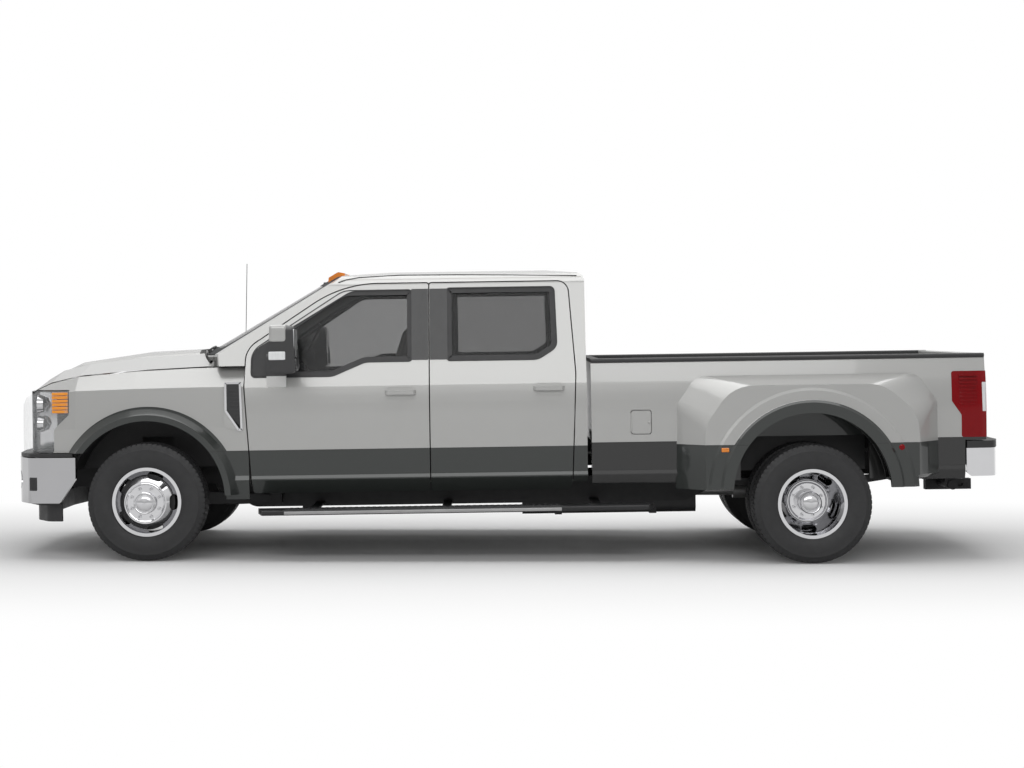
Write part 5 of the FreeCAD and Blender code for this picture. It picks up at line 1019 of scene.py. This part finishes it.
@pair("spring_wire_", "chassis", CHASSIS)
def spring_wire(work, side):
    """Wire wound round the front spring column."""
    steps, count, coil, rise = 28, 196, 0.067, 0.185
    middle = Vector((FRONT_AXLE.x, side * 0.61, 0.449))
    turns = [(k / count, FULL_TURN * k / steps) for k in range(count)]
    wire = [(coil * math.cos(t), coil * math.sin(t), rise * part) for part, t in turns]
    add_tube(work, [middle + Vector(offset) for offset in wire], 0.0085, 10)


# Studio

def seen_rays(graph, glossy):
    """1 for the camera's rays and those through glass; glossy is the part of the mirrored ones."""
    path = graph.node("LightPath").outputs
    shine = graph.times(path["Is Glossy Ray"], glossy)
    seen = graph.math("MAXIMUM", path["Is Camera Ray"], shine)
    return graph.math("MAXIMUM", seen, path["Is Transmission Ray"])


def studio_floor():
    """A pale floor that fades into the white background."""
    def sheet(work):
        """A square of 120 metres."""
        bmesh.ops.create_grid(work, x_segments=8, y_segments=8, size=60)
    floor = drawn("studio_floor", sheet)
    graph = Graph("studio_floor")
    graph.set(Base_Color=(0.86, 0.86, 0.86, 1), Roughness=0.2, Specular_IOR_Level=0.0)
    fade = graph.step(graph.radius((0, 0, 0), (0.42, 1, 0)), 0.9, 4.2)
    share = graph.times(fade, seen_rays(graph, 1.0))
    blend = graph.node("MixShader", share, graph.shader.outputs[0], graph.node("Emission").outputs[0])
    graph.put(graph.nodes["Material Output"].inputs["Surface"], blend.outputs[0])
    floor.data.materials.append(graph.owner)


def studio_world():
    """White to the camera and through glass, greyer near the horizon in reflections, soft as a light."""
    graph = Graph("studio", world=True)
    bpy.context.scene.world = graph.owner
    height = graph.node("SeparateXYZ", graph.coords).outputs["Z"]
    sky = graph.ramp(height, 0.03, 0.4, low=0.4, smooth=True)
    graph.set(Color=(1, 1, 1, 1), Strength=graph.ramp(seen_rays(graph, sky), low=0.3))


def area_light(name, spot, aim, size, power, mirrored=True):
    """A rectangular lamp turned to its aim, with or without its own mirror image in the paint."""
    data = bpy.data.lights.new(name, "AREA")
    data.shape = "RECTANGLE"
    data.size, data.size_y = size
    data.energy = power
    lamp = bpy.data.objects.new(name, data)
    bpy.context.scene.collection.objects.link(lamp)
    lamp.location = spot
    lamp.visible_glossy = mirrored
    lamp.rotation_mode = "QUATERNION"
    lamp.rotation_quaternion = (Vector(aim) - Vector(spot)).to_track_quat("-Z", "Y")


def camera():
    """The photograph's view: square to the left side, horizon a little above the picture's middle."""
    image_width, focal_pixels = 1024, 1976
    data = bpy.data.cameras.new("camera")
    data.sensor_width = 36
    data.lens = data.sensor_width * focal_pixels / image_width
    data.shift_x, data.shift_y = 7 / image_width, -54 / image_width
    eye = bpy.data.objects.new("camera", data)
    bpy.context.scene.collection.objects.link(eye)
    eye.location = (0.022, -14.37, 1.56)
    eye.rotation_euler = (math.radians(90), 0, 0)
    bpy.context.scene.camera = eye


box_trim()
dress_nodes()
studio_floor()
studio_world()
area_light("overhead", (0, 0, 5.5), (0, 0, 0), (9, 5), 260)
area_light("side", (-1.0, -8, 5.0), (0, 0, 0.7), (10, 3), 230)
area_light("far_side", (1.0, 8, 5.0), (0, 0, 0.7), (10, 3), 160, mirrored=False)
camera()
bpy.context.scene.view_settings.view_transform = "Standard"
